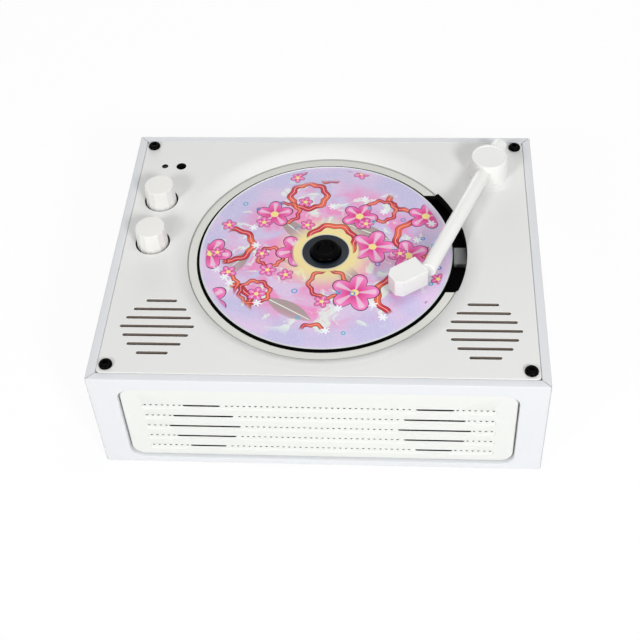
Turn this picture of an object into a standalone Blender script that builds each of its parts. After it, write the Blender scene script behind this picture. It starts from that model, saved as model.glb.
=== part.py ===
"""A portable CD player in the shape of a small record player, as separate named pieces.

Lengths are in metres and +Z is up. X runs to the right, Y to the back, and the origin is at the middle of
the footprint, on the surface that the rubber feet stand on.
"""

import math

import bmesh
import bpy
from mathutils import Matrix, Vector

# Fits
GAP = 0.0003              # between neighbouring solids
OVERRUN = 0.002           # how far a cutter runs past the face that it opens
OVERLAP = 0.0005          # how far a boss reaches into what it is moulded on
WELD = 0.000001           # points closer than this are one point

# Facets
STEPS_DISC = 64
STEPS_LARGE = 32
STEPS_MEDIUM = 24
STEPS_SMALL = 16
STEPS_TINY = 10
CORNER_STEPS = 4
SLOT_END_STEPS = 3
SLOPE_RINGS = 5
HEX_SIDES = 6

# Case: four mitred walls round an inset deck, laid out round the disc's well
SIDE_BORDER = 0.023       # from the well's lip to the case's sides
END_BORDER = 0.013        # from the foot of the well's slope to the case's front and back
CASE_TOP = 0.062
WALL = 0.004
WALL_EDGE = 0.0004
FOOT_HEIGHT = 0.0012
FOOT_RADIUS = 0.006
FOOT_EDGE = 0.0004
FOOT_INSET = 0.018
BOTTOM_THICKNESS = 0.002

# Top deck
DECK_THICKNESS = 0.0025
DECK_GAP = 0.0004         # all round, between the deck's edge and the walls
DECK_EDGE = 0.0014        # rounding of its upper edge
DECK_CORNER = 0.0022
SCREW_INSET = 0.0082      # of the corner screws, from the case's outer faces

# Disc
SPINDLE_Y = 0.002
DISC_RADIUS = 0.060
DISC_THICKNESS = 0.0012
DISC_HOLE_RADIUS = 0.0075
DISC_DROP = 0.004         # the disc's upper face, below the deck's

# Well in the deck, from the outside in: a rolled slope, a flat ledge and a pocket under the disc
LEDGE_WIDTH = 0.007       # from the disc's edge to the foot of the slope
SLOPE_RUN = 0.010
LEDGE_DROP = 0.0044
LIP_STEEPNESS_SHARE = 0.12
POCKET_GAP = 0.0012       # round the disc
POCKET_CLEARANCE = 0.0014 # under the disc
FLOOR_THICKNESS = 0.0016
TUB_WALL = 0.002
TUB_FLARE = 0.0034

# Window in the well's floor, over the mechanism
WINDOW_LEFT = -0.036
WINDOW_FRONT = -0.0224
WINDOW_BACK = 0.0418

# Loudspeaker slots in the deck, and their lengths as shares of the longest
SLOT_SIDE_INSET = 0.0273  # of a group's middle, from the case's side and its front
SLOT_FRONT_INSET = 0.0309
SLOT_PITCH = 0.0051
SLOT_LENGTH = 0.0335
SLOT_WIDTH = 0.0015
SLOT_LENGTH_SHARES = (0.42, 0.72, 0.88, 1.0, 0.88, 0.72, 0.42)

# Controls along the deck's left side, with insets from the case's left side
KNOB_INSET = 0.0175
VOLUME_STEP = 0.0247      # from the two small holes forward to the volume knob
MODE_STEP = 0.029         # and on to the mode knob
KNOB_TOP_RADIUS = 0.00705
KNOB_BASE_RADIUS = 0.0075
KNOB_HEIGHT = 0.010       # above the deck
KNOB_SINK = 0.0015        # below the deck's face
KNOB_HOLE_GAP = 0.0007
KNOB_FACETS = 16
KNOB_EDGE = 0.0006
KNOB_ROOF = 0.004
PRESS_TRAVEL = 0.0008
SHAFT_RADIUS = 0.003
SHAFT_ROOF_GAP = 0.0005
BUSH_RADIUS = 0.0045
BUSH_LENGTH = 0.0032
CONTROL_SIZE = 0.014
CONTROL_HEIGHT = 0.006
CONTROL_FLOOR = 0.0012
PLUNGER_RADIUS = 0.0044
PLUNGER_THICKNESS = 0.0013
CONTROL_BOARD_DROP = 0.0134   # the board's upper face, below the deck's
CONTROL_BOARD_THICKNESS = 0.0016
CONTROL_BOARD_WIDTH = 0.020
CONTROL_BOARD_MARGIN = 0.0045 # past the outermost parts on it, front and back
CONTROL_BOARD_TO_POST = 0.0007
INDICATOR_INSET = 0.0157
JACK_INSET = 0.024
INDICATOR_RADIUS = 0.0013
INDICATOR_SINK = 0.0008
JACK_BODY = 0.008
JACK_HOLE_RADIUS = 0.0025
JACK_BORE_RADIUS = 0.0018
JACK_FLOOR = 0.0008
BOSS_RADIUS = 0.003

# Tonearm, turned about the pivot
PIVOT_SIDE_INSET = 0.0219 # from the case's right side and its back
PIVOT_BACK_INSET = 0.0276
ARM_ANGLE = math.radians(-112.6)
ARM_LIFT = 0.0073         # the tube's axis, above the deck
TUBE_RADIUS = 0.0034
TUBE_REACH = 0.0785
TUBE_TAIL = 0.0055
CAP_TOP_RADIUS = 0.00865
CAP_BASE_RADIUS = 0.0094
CAP_HEIGHT = 0.012
CAP_EDGE = 0.0007
BASE_RADIUS = 0.0138
BASE_THICKNESS = 0.0006
SLEEVE_RADIUS = 0.0055
SLEEVE_DEPTH = 0.005      # of the base's sleeve, below the deck's face
ARM_SHAFT_RADIUS = 0.003
ARM_SHAFT_DEPTH = 0.0085
CLIP_RADIUS = 0.005
CLIP_THICKNESS = 0.0008
GROOVE_DEPTH = 0.0008
CLIP_MOUTH = math.radians(70)
WEIGHT_RADIUS = 0.0038
WEIGHT_END = 0.0152       # its far end, from the pivot
WEIGHT_SPIGOT_RADIUS = 0.0028
WEIGHT_GROOVE = 0.0004
HEAD_LENGTH = 0.0162
HEAD_WIDTH = 0.0109
HEAD_HEIGHT = 0.0093
HEAD_CLEARANCE = 0.0006   # over the deck, so that the arm swings out over it
HEAD_AHEAD = 0.0062       # the head's middle, past the tube's end and to its side
HEAD_ASIDE = 0.00775
HEAD_TURN = math.radians(-33.7)
HEAD_EDGE = 0.0005
HEAD_NOSE_CHAMFER = 0.0027  # off the nose's two corners
NECK_RADIUS = 0.0018
NECK_LENGTH = 0.009
NECK_BACK = 0.0035

# Black round-headed screws, which hold the deck, the side walls' posts and the bottom plate together
HEAD_RADIUS = 0.003
HEAD_THICKNESS = 0.0016
SHANK_RADIUS = 0.0012
HEAD_PROFILE_SHARES = ((0, 1), (0.5, 1), (0.85, 0.62), (1, 0.25), (1, 0))  # of its radius and thickness
SOCKET_RADIUS = 0.0012
SOCKET_DEPTH = 0.0009
SHANK_CLEARANCE = 0.0004
SCREW_BOSS_RADIUS = 0.0028
SCREW_BOSS_HEIGHT = 0.008
SCREW_FLOOR = 0.001

# Posts inside the side walls, at the case's corners
POST_WIDTH = 0.0115
POST_DEPTH = 0.0115
GRILLE_ROOM = 0.0021      # between the front and back walls and the posts

# Pegs moulded on the deck, the bottom plate and the grille, which hold what hangs there
PEG_RADIUS = 0.0011
PEG_REACH = 0.0012        # past what the peg holds

# Front grille
GRILLE_SIDE_BORDER = 0.0125
GRILLE_LOW = 0.005
GRILLE_TOP_BORDER = 0.007
GRILLE_CORNER = 0.0065
GRILLE_GAP = 0.0005
GRILLE_RECESS = 0.0015
GRILLE_FLANGE = 0.0015
GRILLE_FLANGE_SIDES = 0.0012
GRILLE_FLANGE_TOP = 0.0025
GRILLE_FLANGE_BOTTOM = 0.001
GRILLE_EDGE = 0.001
GROOVE_ROWS = 5
GROOVE_PITCH = 0.0075
GROOVE_MIDDLE_RISE = 0.0215   # of the middle groove, above the opening's lower edge
GROOVE_END_BORDER = 0.009
GROOVE_WIDTH = 0.0034
GROOVE_SINK = 0.0006
SLIT_INSET = 0.0486       # of a group's middle, from the case's side
SLIT_LENGTH = 0.0326
SLIT_WIDTH = 0.001
SLIT_RAISE = 0.0008       # of the slits, above the middle of their groove
SLIT_LENGTH_SHARES = (0.515, 0.837, 1.0, 0.837, 0.515)

# Loudspeakers behind the grille
SPEAKER_RADIUS = 0.0205
SPEAKER_LIP = 0.0028
SPEAKER_DEPTH = 0.011
BASKET_SHEET = 0.001
BASKET_BACK_RADIUS = 0.0125
MAGNET_RADIUS = 0.0145
MAGNET_THICKNESS = 0.0075
CONE_SHEET = 0.0006
CONE_INNER_RADIUS = 0.006
CONE_PROFILE_SHARES = ((0, 0.5), (0.5, 0.58), (1, 0.86))  # of its inner radius and its depth
SURROUND_WIDTH = 0.003
SURROUND_CREST_SHARES = (0.7, 0.3)
SPEAKER_PEG_ANGLE = math.radians(38)

# Mechanism under the window
CHASSIS_DROP = 0.012      # its upper face, below the deck's
CHASSIS_THICKNESS = 0.0016
CHASSIS_MARGIN = 0.006    # past the window, left, front and back
CHASSIS_END_MARGIN = 0.0062   # past the guide rods' ends
CHASSIS_CORNER = 0.003
ISOLATOR_INSET = 0.0045
ISOLATOR_RADIUS = 0.0042
ISOLATOR_NECK_RADIUS = 0.0028
ISOLATOR_FLANGE = 0.0009
MECHANISM_BOSS_RADIUS = 0.0035
HUB_FLANGE_RADIUS = 0.0145
HUB_FLANGE_THICKNESS = 0.0022
HUB_NECK_RADIUS = 0.0048
HUB_TOP = 0.0024          # above the disc's upper face
HUB_CHAMFER = 0.0008
HUB_DISH_RADIUS = 0.0042
HUB_DISH_DEPTH = 0.0012
CATCH_RADIUS = 0.0011     # three round catches that grip the disc's hole
CATCH_RING_RADIUS = 0.0062
CATCH_COUNT = 3
SPINDLE_RADIUS = 0.001
SPINDLE_LENGTH = 0.007    # inside the motor
MOTOR_RADIUS = 0.012
MOTOR_HEIGHT = 0.012
LENS_START = 0.024        # the lens's path, from the spindle
LENS_MARGIN = 0.005       # from the path's end to the disc's edge
LENS_RADIUS = 0.0022
LENS_CLEARANCE = 0.0018   # under the disc
TOWER_SIZE = 0.0084
SLOT_SIDE_GAP = 0.0014
SLED_LENGTH = 0.019
SLED_THICKNESS = 0.006
SLED_DROP = 0.0011        # its top, under the chassis
ROD_RADIUS = 0.0015
FRONT_ROD_Y = -0.012
BACK_ROD_Y = 0.014
SLED_MARGIN = 0.0033       # past the rods, front and back
LUG_THICKNESS = 0.0015
LUG_WIDTH = 0.0046
LUG_GAP = 0.0008          # between a lug and the sled at the end of its travel
BRACKET_LENGTH = 0.0062
BRACKET_WIDTH = 0.0133
BRACKET_HEIGHT = 0.0026
BRACKET_ASIDE = 0.0023
BRACKET_EDGE = 0.0004

# Sled drive: rack, compound gear and motor pinion, of one module
MODULE = 0.0008
RACK_TEETH_AFTER = 1      # past the gear, with the sled at rest
SMALL_TEETH = 10
LARGE_TEETH = 24
PINION_TEETH = 8
ADDENDUM = 0.0005
DEDENDUM = 0.0009
TOOTH_TIP_SHARE = 0.13    # half of a tooth's width at its tip and its root, as shares of the pitch
TOOTH_ROOT_SHARE = 0.26
RACK_BAR = 0.0022
RACK_HEIGHT = 0.003
RACK_RAISE = 0.002        # above the sled's underside
GEAR_X = 0.030
LARGE_GEAR_THICKNESS = 0.002
LARGE_GEAR_DROP = 0.001   # its top, under the sled
PIN_RADIUS = 0.0015
PIN_HEAD_RADIUS = 0.0028
PIN_HEAD_THICKNESS = 0.0008
PIN_BOSS_RADIUS = 0.003
PINION_ANGLE = math.radians(25)
PINION_SHAFT_RADIUS = 0.001
SLED_MOTOR_RADIUS = 0.0075
SLED_MOTOR_HEIGHT = 0.007

# Main board, battery and the sockets in the back wall
BOARD_MIDDLE_X = 0.015
BOARD_WIDTH = 0.110
BOARD_DEPTH = 0.058
BOARD_BACK_GAP = 0.002
BOARD_THICKNESS = 0.0016
STANDOFF_HEIGHT = 0.005
STANDOFF_RADIUS = 0.003
BOARD_PEG_INSET = 0.004
CHIP_SIZE = 0.012
CHIP_HEIGHT = 0.0014
CAPACITOR_RADIUS = 0.004
CAPACITOR_HEIGHT = 0.010
SOCKET_STRIP_LENGTH = 0.016
SOCKET_STRIP_WIDTH = 0.005
SOCKET_STRIP_HEIGHT = 0.006
CHIP_PLACE_SHARES = ((-0.22, -0.05), (0.16, 0.02))
CAPACITOR_PLACE_SHARES = ((0.34, -0.20), (0.34, 0.04))
STRIP_PLACE_SHARES = ((-0.20, -0.36), (0.14, -0.36))
BATTERY_RADIUS = 0.0092
BATTERY_LENGTH = 0.065
BATTERY_NUB_RADIUS = 0.0028
BATTERY_NUB = 0.001
BATTERY_Y = -0.033
BATTERY_LIFT = 0.0008     # over the bottom plate
CRADLE_WIDTH = 0.014
CRADLE_HEIGHT = 0.009
CRADLE_THICKNESS = 0.002
CRADLE_PLACE_SHARE = 0.34
CHARGE_X = 0.000
CHARGE_WIDTH = 0.0090
CHARGE_HEIGHT = 0.0033
CHARGE_DEPTH = 0.0085
CHARGE_SHEET = 0.0004
CHARGE_TONGUE = 0.0007
SWITCH_X = 0.040
SWITCH_WIDTH = 0.014
SWITCH_HEIGHT = 0.007
SWITCH_DEPTH = 0.006
SLIDER_WIDTH = 0.004
SLIDER_HEIGHT = 0.0032
SLIDER_SINK = 0.0006      # its end, inside the back wall's outer face
SLIDER_TRAVEL = 0.004
SLIDER_PLATE = 0.0012

# Worked out from the sizes above
FOOT_LINE_RADIUS = DISC_RADIUS + LEDGE_WIDTH
LIP_RADIUS = FOOT_LINE_RADIUS + SLOPE_RUN
CASE_WIDTH = 2 * (LIP_RADIUS + SIDE_BORDER)
CASE_DEPTH = 2 * (FOOT_LINE_RADIUS + END_BORDER)
CASE_BOTTOM = FOOT_HEIGHT + GAP
HALF_WIDTH = CASE_WIDTH / 2
HALF_DEPTH = CASE_DEPTH / 2
INNER_HALF_WIDTH = HALF_WIDTH - WALL
INNER_HALF_DEPTH = HALF_DEPTH - WALL
DECK_BOTTOM = CASE_TOP - DECK_THICKNESS
DISC_TOP = CASE_TOP - DISC_DROP
DISC_BOTTOM = DISC_TOP - DISC_THICKNESS
LEDGE_Z = CASE_TOP - LEDGE_DROP
POCKET_RADIUS = DISC_RADIUS + POCKET_GAP
POCKET_Z = DISC_BOTTOM - POCKET_CLEARANCE
TUB_BOTTOM = POCKET_Z - FLOOR_THICKNESS
BOTTOM_TOP = CASE_BOTTOM + BOTTOM_THICKNESS
SLOT_CENTRE_X = HALF_WIDTH - SLOT_SIDE_INSET
SLOT_CENTRE_Y = SLOT_FRONT_INSET - HALF_DEPTH
KNOB_X = KNOB_INSET - HALF_WIDTH
POST_FACE_Y = INNER_HALF_DEPTH - GRILLE_ROOM - POST_DEPTH
TOP_HOLES_Y = POST_FACE_Y - CONTROL_BOARD_TO_POST - CONTROL_BOARD_MARGIN
VOLUME_Y = TOP_HOLES_Y - VOLUME_STEP
MODE_Y = VOLUME_Y - MODE_STEP
INDICATOR_X = INDICATOR_INSET - HALF_WIDTH
JACK_X = JACK_INSET - HALF_WIDTH
PIVOT_X = HALF_WIDTH - PIVOT_SIDE_INSET
PIVOT_Y = HALF_DEPTH - PIVOT_BACK_INSET
CONTROL_BOARD_TOP = CASE_TOP - CONTROL_BOARD_DROP
CONTROL_BOTTOM = CONTROL_BOARD_TOP + GAP
CONTROL_TOP = CONTROL_BOTTOM + CONTROL_HEIGHT
KNOB_TOP = CASE_TOP + KNOB_HEIGHT
SHAFT_TOP = KNOB_TOP - KNOB_ROOF - SHAFT_ROOF_GAP
CHASSIS_TOP = CASE_TOP - CHASSIS_DROP
CHASSIS_BOTTOM = CHASSIS_TOP - CHASSIS_THICKNESS
MECHANISM_BOSS_BOTTOM = CHASSIS_TOP + ISOLATOR_FLANGE + 2 * GAP
SLED_TRAVEL = DISC_RADIUS - LENS_START - LENS_MARGIN
SLED_TOP = CHASSIS_BOTTOM - SLED_DROP
SLED_BOTTOM = SLED_TOP - SLED_THICKNESS
LENS_TOP = DISC_BOTTOM - LENS_CLEARANCE
ROD_Z = (SLED_TOP + SLED_BOTTOM) / 2
TOOTH_PITCH = math.pi * MODULE
RACK_TEETH_BEFORE = math.ceil(SLED_TRAVEL / TOOTH_PITCH)
SMALL_PITCH_RADIUS = SMALL_TEETH * MODULE / 2
LARGE_PITCH_RADIUS = LARGE_TEETH * MODULE / 2
PINION_PITCH_RADIUS = PINION_TEETH * MODULE / 2
SLED_BACK = BACK_ROD_Y + SLED_MARGIN
RACK_PITCH_Y = SLED_BACK + RACK_BAR + DEDENDUM
GEAR_Y = RACK_PITCH_Y + SMALL_PITCH_RADIUS
LARGE_GEAR_TOP = SLED_BOTTOM - LARGE_GEAR_DROP
LARGE_GEAR_BOTTOM = LARGE_GEAR_TOP - LARGE_GEAR_THICKNESS
GRILLE_WIDTH = CASE_WIDTH - 2 * GRILLE_SIDE_BORDER
GRILLE_HIGH = CASE_TOP - GRILLE_TOP_BORDER
GROOVE_MIDDLE_Z = GRILLE_LOW + GROOVE_MIDDLE_RISE
GROOVE_LENGTH = GRILLE_WIDTH - 2 * GROOVE_END_BORDER
SLIT_CENTRE_X = HALF_WIDTH - SLIT_INSET
GRILLE_FRONT_Y = -HALF_DEPTH + GRILLE_RECESS
GRILLE_BACK_Y = -INNER_HALF_DEPTH + GAP + GRILLE_FLANGE
SPEAKER_FRONT_Y = GRILLE_BACK_Y + GAP
BOARD_BOTTOM = BOTTOM_TOP + STANDOFF_HEIGHT + GAP
BOARD_TOP = BOARD_BOTTOM + BOARD_THICKNESS
BOARD_BACK = INNER_HALF_DEPTH - BOARD_BACK_GAP
BATTERY_Z = BOTTOM_TOP + BATTERY_LIFT + BATTERY_RADIUS

# Finishes: colour, roughness and metallic value
FINISHES = {
    "deck white": ((0.83, 0.83, 0.81), 0.48, 0.0),
    "wall white": ((0.84, 0.85, 0.88), 0.50, 0.0),
    "grille white": ((0.85, 0.85, 0.82), 0.52, 0.0),
    "arm white": ((0.88, 0.88, 0.86), 0.38, 0.0),
    "black plastic": ((0.012, 0.012, 0.013), 0.45, 0.0),
    "gloss black": ((0.008, 0.008, 0.009), 0.15, 0.0),
    "black steel": ((0.015, 0.015, 0.016), 0.35, 0.7),
    "rubber": ((0.03, 0.03, 0.03), 0.85, 0.0),
    "grey plastic": ((0.30, 0.32, 0.31), 0.55, 0.0),
    "steel": ((0.62, 0.62, 0.63), 0.28, 1.0),
    "board green": ((0.02, 0.16, 0.07), 0.45, 0.0),
    "disc": ((0.72, 0.60, 0.78), 0.18, 0.2),
    "lens glass": ((0.25, 0.35, 0.60), 0.05, 0.0),
    "paper": ((0.05, 0.05, 0.05), 0.9, 0.0),
    "ferrite": ((0.06, 0.06, 0.065), 0.7, 0.2),
    "nylon": ((0.80, 0.79, 0.72), 0.5, 0.0),
    "cell wrap": ((0.10, 0.22, 0.42), 0.4, 0.0),
}


def clear_scene():
    for obj in list(bpy.data.objects):
        bpy.data.objects.remove(obj, do_unlink=True)


def new_collection(name):
    collection = bpy.data.collections.new(name)
    bpy.context.scene.collection.children.link(collection)
    return collection


clear_scene()
PLAYER = new_collection("cd_player")
CUTTERS = new_collection("cutters")


def new_object(name, bm):
    """Puts a bmesh into a new object, shaded smooth with its corners kept sharp."""
    mesh = bpy.data.meshes.new(name)
    bm.to_mesh(mesh)
    bm.free()
    mesh.shade_smooth()
    mesh.set_sharp_from_angle(angle=math.radians(35))
    obj = bpy.data.objects.new(name, mesh)
    CUTTERS.objects.link(obj)
    obj.hide_render = True
    obj.display_type = "WIRE"
    return obj


def box(name, low, high):
    """A box between two corners."""
    bm = bmesh.new()
    bmesh.ops.create_cube(bm, size=1)
    low, high = Vector(low), Vector(high)
    size = high - low
    bmesh.ops.transform(bm, matrix=Matrix.Diagonal((*size, 1)), verts=bm.verts)
    bmesh.ops.translate(bm, vec=(low + high) / 2, verts=bm.verts)
    return new_object(name, bm)


def rounded_box(name, low, high, corner, edge, edge_side=1):
    """A box whose four upright edges are rounded, and the rim of its upper face (or, at -1, its lower)."""
    bm = bmesh.new()
    bmesh.ops.create_cube(bm, size=1)
    low, high = Vector(low), Vector(high)
    bmesh.ops.transform(bm, matrix=Matrix.Diagonal((*(high - low), 1)), verts=bm.verts)
    upright = [e for e in bm.edges if abs(e.verts[0].co.z - e.verts[1].co.z) > WELD]
    bmesh.ops.bevel(bm, geom=upright, offset=corner, segments=CORNER_STEPS, affect="EDGES", profile=0.5)
    if edge:
        face = max(bm.faces, key=lambda f: edge_side * f.calc_center_median().z)
        bmesh.ops.bevel(bm, geom=list(face.edges), offset=edge, segments=2, affect="EDGES", profile=0.5)
    bmesh.ops.translate(bm, vec=(low + high) / 2, verts=bm.verts)
    return new_object(name, bm)


def cylinder(name, radius, low, high, steps, centre=(0, 0), top_radius=None):
    """An upright cylinder or cone from low to high."""
    bm = bmesh.new()
    bmesh.ops.create_cone(
        bm, cap_ends=True, segments=steps, radius1=radius,
        radius2=radius if top_radius is None else top_radius, depth=high - low,
    )
    bmesh.ops.translate(bm, vec=(*centre, (low + high) / 2), verts=bm.verts)
    return new_object(name, bm)


def rod(name, radius, start, end, steps):
    """A cylinder between two points."""
    start, end = Vector(start), Vector(end)
    bm = bmesh.new()
    bmesh.ops.create_cone(
        bm, cap_ends=True, segments=steps, radius1=radius, radius2=radius, depth=(end - start).length
    )
    turn = (end - start).to_track_quat("Z", "Y").to_matrix().to_4x4()
    bmesh.ops.transform(bm, matrix=Matrix.Translation((start + end) / 2) @ turn, verts=bm.verts)
    return new_object(name, bm)


def sphere(name, radius, centre, steps):
    bm = bmesh.new()
    bmesh.ops.create_uvsphere(bm, u_segments=steps, v_segments=steps // 2, radius=radius)
    bmesh.ops.translate(bm, vec=centre, verts=bm.verts)
    return new_object(name, bm)


def turned(name, profile, steps, ring=False):
    """A profile of radii and heights, turned about Z: down its outer side, or round as a closed ring."""
    mesh = bpy.data.meshes.new(name)
    edges = [(i, i + 1) for i in range(len(profile) - 1)]
    if ring:
        edges.append((len(profile) - 1, 0))
    mesh.from_pydata([(radius, 0, z) for radius, z in profile], edges, [])
    obj = bpy.data.objects.new(name, mesh)
    CUTTERS.objects.link(obj)
    obj.hide_render = True
    obj.display_type = "WIRE"
    screw = obj.modifiers.new("Turn", "SCREW")
    screw.angle = 2 * math.pi
    screw.steps = steps
    screw.render_steps = steps
    screw.use_merge_vertices = True
    screw.merge_threshold = WELD
    screw.use_smooth_shade = True
    return obj


def prism(name, outlines, low, high):
    """A flat outline, with any holes in it as further outlines, thickened from low to high."""
    curve = bpy.data.curves.new(name, "CURVE")
    curve.dimensions = "2D"
    curve.fill_mode = "BOTH"
    curve.extrude = (high - low) / 2
    for outline in outlines:
        spline = curve.splines.new("POLY")
        spline.points.add(len(outline) - 1)
        for point, (x, y) in zip(spline.points, outline):
            point.co = (x, y, 0, 1)
        spline.use_cyclic_u = True
    flat = bpy.data.objects.new(name, curve)
    CUTTERS.objects.link(flat)
    graph = bpy.context.evaluated_depsgraph_get()
    mesh = bpy.data.meshes.new_from_object(flat.evaluated_get(graph))
    bpy.data.objects.remove(flat, do_unlink=True)
    bm = bmesh.new()
    bm.from_mesh(mesh)
    bmesh.ops.remove_doubles(bm, verts=bm.verts, dist=WELD)
    bmesh.ops.translate(bm, vec=(0, 0, (low + high) / 2), verts=bm.verts)
    bmesh.ops.recalc_face_normals(bm, faces=bm.faces)
    return new_object(name, bm)


def arc(centre, radius, start, end, steps):
    """Points along an arc, both ends among them."""
    angles = [start + (end - start) * i / steps for i in range(steps + 1)]
    return [(centre[0] + radius * math.cos(a), centre[1] + radius * math.sin(a)) for a in angles]


def slot_outline(centre, length, width):
    """A straight slot along X with round ends."""
    reach = (length - width) / 2
    right = arc((centre[0] + reach, centre[1]), width / 2, -math.pi / 2, math.pi / 2, SLOT_END_STEPS)
    left = arc((centre[0] - reach, centre[1]), width / 2, math.pi / 2, 3 * math.pi / 2, SLOT_END_STEPS)
    return right + left


def gear_outline(teeth, middle_angle):
    """A spur gear with straight-sided teeth, and the middle of one tooth at middle_angle."""
    radius = teeth * MODULE / 2
    points = []
    for i in range(teeth):
        middle = middle_angle + 2 * math.pi * i / teeth
        tip = TOOTH_TIP_SHARE * TOOTH_PITCH / radius
        root = TOOTH_ROOT_SHARE * TOOTH_PITCH / radius
        for angle, reach in ((-root, -DEDENDUM), (-tip, ADDENDUM), (tip, ADDENDUM), (root, -DEDENDUM)):
            r = radius + reach
            points.append((r * math.cos(middle + angle), r * math.sin(middle + angle)))
    return points


def boolean(target, tool, operation):
    modifier = target.modifiers.new(f"{operation.title()} {tool.name}", "BOOLEAN")
    modifier.operation = operation
    modifier.object = tool
    modifier.solver = "EXACT"


def cut(target, *tools):
    for tool in tools:
        boolean(target, tool, "DIFFERENCE")


def join(target, *tools):
    for tool in tools:
        boolean(target, tool, "UNION")


def bake(obj):
    """Replaces an object's modifiers by their result."""
    graph = bpy.context.evaluated_depsgraph_get()
    mesh = bpy.data.meshes.new_from_object(obj.evaluated_get(graph))
    tools = [m.object for m in obj.modifiers if m.type == "BOOLEAN"]
    obj.modifiers.clear()
    obj.data = mesh
    for tool in tools:
        bpy.data.objects.remove(tool, do_unlink=True)
    return obj


def gathered(name, objects):
    """Several cutters as one."""
    bm = bmesh.new()
    for obj in objects:
        bake(obj)
        bm.from_mesh(obj.data)
        bpy.data.objects.remove(obj, do_unlink=True)
    return new_object(name, bm)


def finish(obj, name, look, parent=None, location=(0, 0, 0), rotation=(0, 0, 0)):
    """Makes an object one of the player's pieces, with its own material."""
    obj.name = name
    colour, roughness, metallic = FINISHES[look]
    material = bpy.data.materials.new(f"{name} {look}")
    material.use_nodes = True
    shader = material.node_tree.nodes["Principled BSDF"]
    shader.inputs["Base Color"].default_value = (*colour, 1)
    shader.inputs["Roughness"].default_value = roughness
    shader.inputs["Metallic"].default_value = metallic
    material.diffuse_color = (*colour, 1)
    obj.data.materials.clear()
    obj.data.materials.append(material)
    obj.location = location
    obj.rotation_euler = rotation
    obj.parent = parent
    obj.hide_render = False
    obj.display_type = "TEXTURED"
    CUTTERS.objects.unlink(obj)
    PLAYER.objects.link(obj)
    return obj


def axis(name, location, rotation=(0, 0, 0)):
    """An empty on a joint's axis, which carries the pieces that move on it."""
    empty = bpy.data.objects.new(name, None)
    empty.location = location
    empty.rotation_euler = rotation
    PLAYER.objects.link(empty)
    return empty


def corner_places(half_x, half_y):
    return [(sx * half_x, sy * half_y) for sx in (-1, 1) for sy in (-1, 1)]


def socket_screw(name, head_radius, head_thickness, shank_radius, shank_length):
    """A screw with a domed head, its head's underside at z = 0."""
    profile = [(across * head_radius, up * head_thickness) for across, up in HEAD_PROFILE_SHARES]
    profile += [
        (shank_radius, 0),
        (shank_radius, shank_radius - shank_length),
        (shank_radius / 2, -shank_length),
        (0, -shank_length),
    ]
    screw = turned(name, profile, STEPS_SMALL)
    low, high = head_thickness - SOCKET_DEPTH, head_thickness + OVERRUN
    cut(screw, cylinder(f"{name} socket", SOCKET_RADIUS, low, high, HEX_SIDES))
    return screw


def front_facing(depth_to_y=0):
    """Turns a shape drawn in XY, with its face up, so that it faces the front: its Y becomes Z."""
    return Matrix.Translation((0, depth_to_y, 0)) @ Matrix.Rotation(math.pi / 2, 4, "X")


def transformed(obj, matrix):
    """Bakes an object and moves its mesh."""
    bake(obj)
    obj.data.transform(matrix)
    return obj


def wall_outline(length, depth):
    """A wall in plan, with mitred ends: its outer face on the line at -depth."""
    setback = GAP / math.sqrt(2)
    outer = length / 2 - setback
    inner = outer - WALL
    return [(-outer, -depth), (outer, -depth), (inner, -depth + WALL), (-inner, -depth + WALL)]


def case_wall(name, length, depth, turn):
    wall = prism(name, [wall_outline(length, depth)], CASE_BOTTOM, CASE_TOP)
    wall.data.transform(Matrix.Rotation(turn, 4, "Z"))
    bevel = wall.modifiers.new("Edges", "BEVEL")
    bevel.width = WALL_EDGE
    bevel.segments = 1
    bevel.limit_method = "ANGLE"
    return wall


def grille_box(name, margin, low, high, edge, margin_top=None, margin_bottom=None):
    """A rounded plate drawn in XY, as wide as the grille's opening plus a margin."""
    top = margin if margin_top is None else margin_top
    bottom = margin if margin_bottom is None else margin_bottom
    return rounded_box(
        name,
        (-GRILLE_WIDTH / 2 - margin, GRILLE_LOW - bottom, low),
        (GRILLE_WIDTH / 2 + margin, GRILLE_HIGH + top, high),
        GRILLE_CORNER + min(margin, 0),
        edge,
    )


def build_walls():
    front = case_wall("front wall", CASE_WIDTH, HALF_DEPTH, 0)
    opening = grille_box("grille opening", 0, INNER_HALF_DEPTH - OVERRUN, HALF_DEPTH + OVERRUN, 0)
    transformed(opening, front_facing())
    cut(front, opening)
    finish(front, "front_wall", "wall white")

    back = case_wall("back wall", CASE_WIDTH, HALF_DEPTH, math.pi)
    low, high = INNER_HALF_DEPTH - OVERRUN, HALF_DEPTH + OVERRUN
    charge = prism(
        "charge opening",
        [slot_outline((CHARGE_X, charge_z()), CHARGE_WIDTH + 2 * GAP, CHARGE_HEIGHT + 2 * GAP)],
        -high, -low,
    )
    transformed(charge, front_facing())
    slide = box(
        "switch opening",
        (SWITCH_X - (SLIDER_WIDTH + SLIDER_TRAVEL) / 2 - GAP, low, switch_z() - SLIDER_HEIGHT / 2 - GAP),
        (SWITCH_X + (SLIDER_WIDTH + SLIDER_TRAVEL) / 2 + GAP, high, switch_z() + SLIDER_HEIGHT / 2 + GAP),
    )
    cut(back, charge, slide)
    finish(back, "back_wall", "wall white")

    for side, sx in (("left", -1), ("right", 1)):
        wall = case_wall(f"{side} wall", CASE_DEPTH, HALF_WIDTH, sx * math.pi / 2)
        add_posts(wall, sx)
        finish(wall, f"{side}_wall", "wall white")


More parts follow.
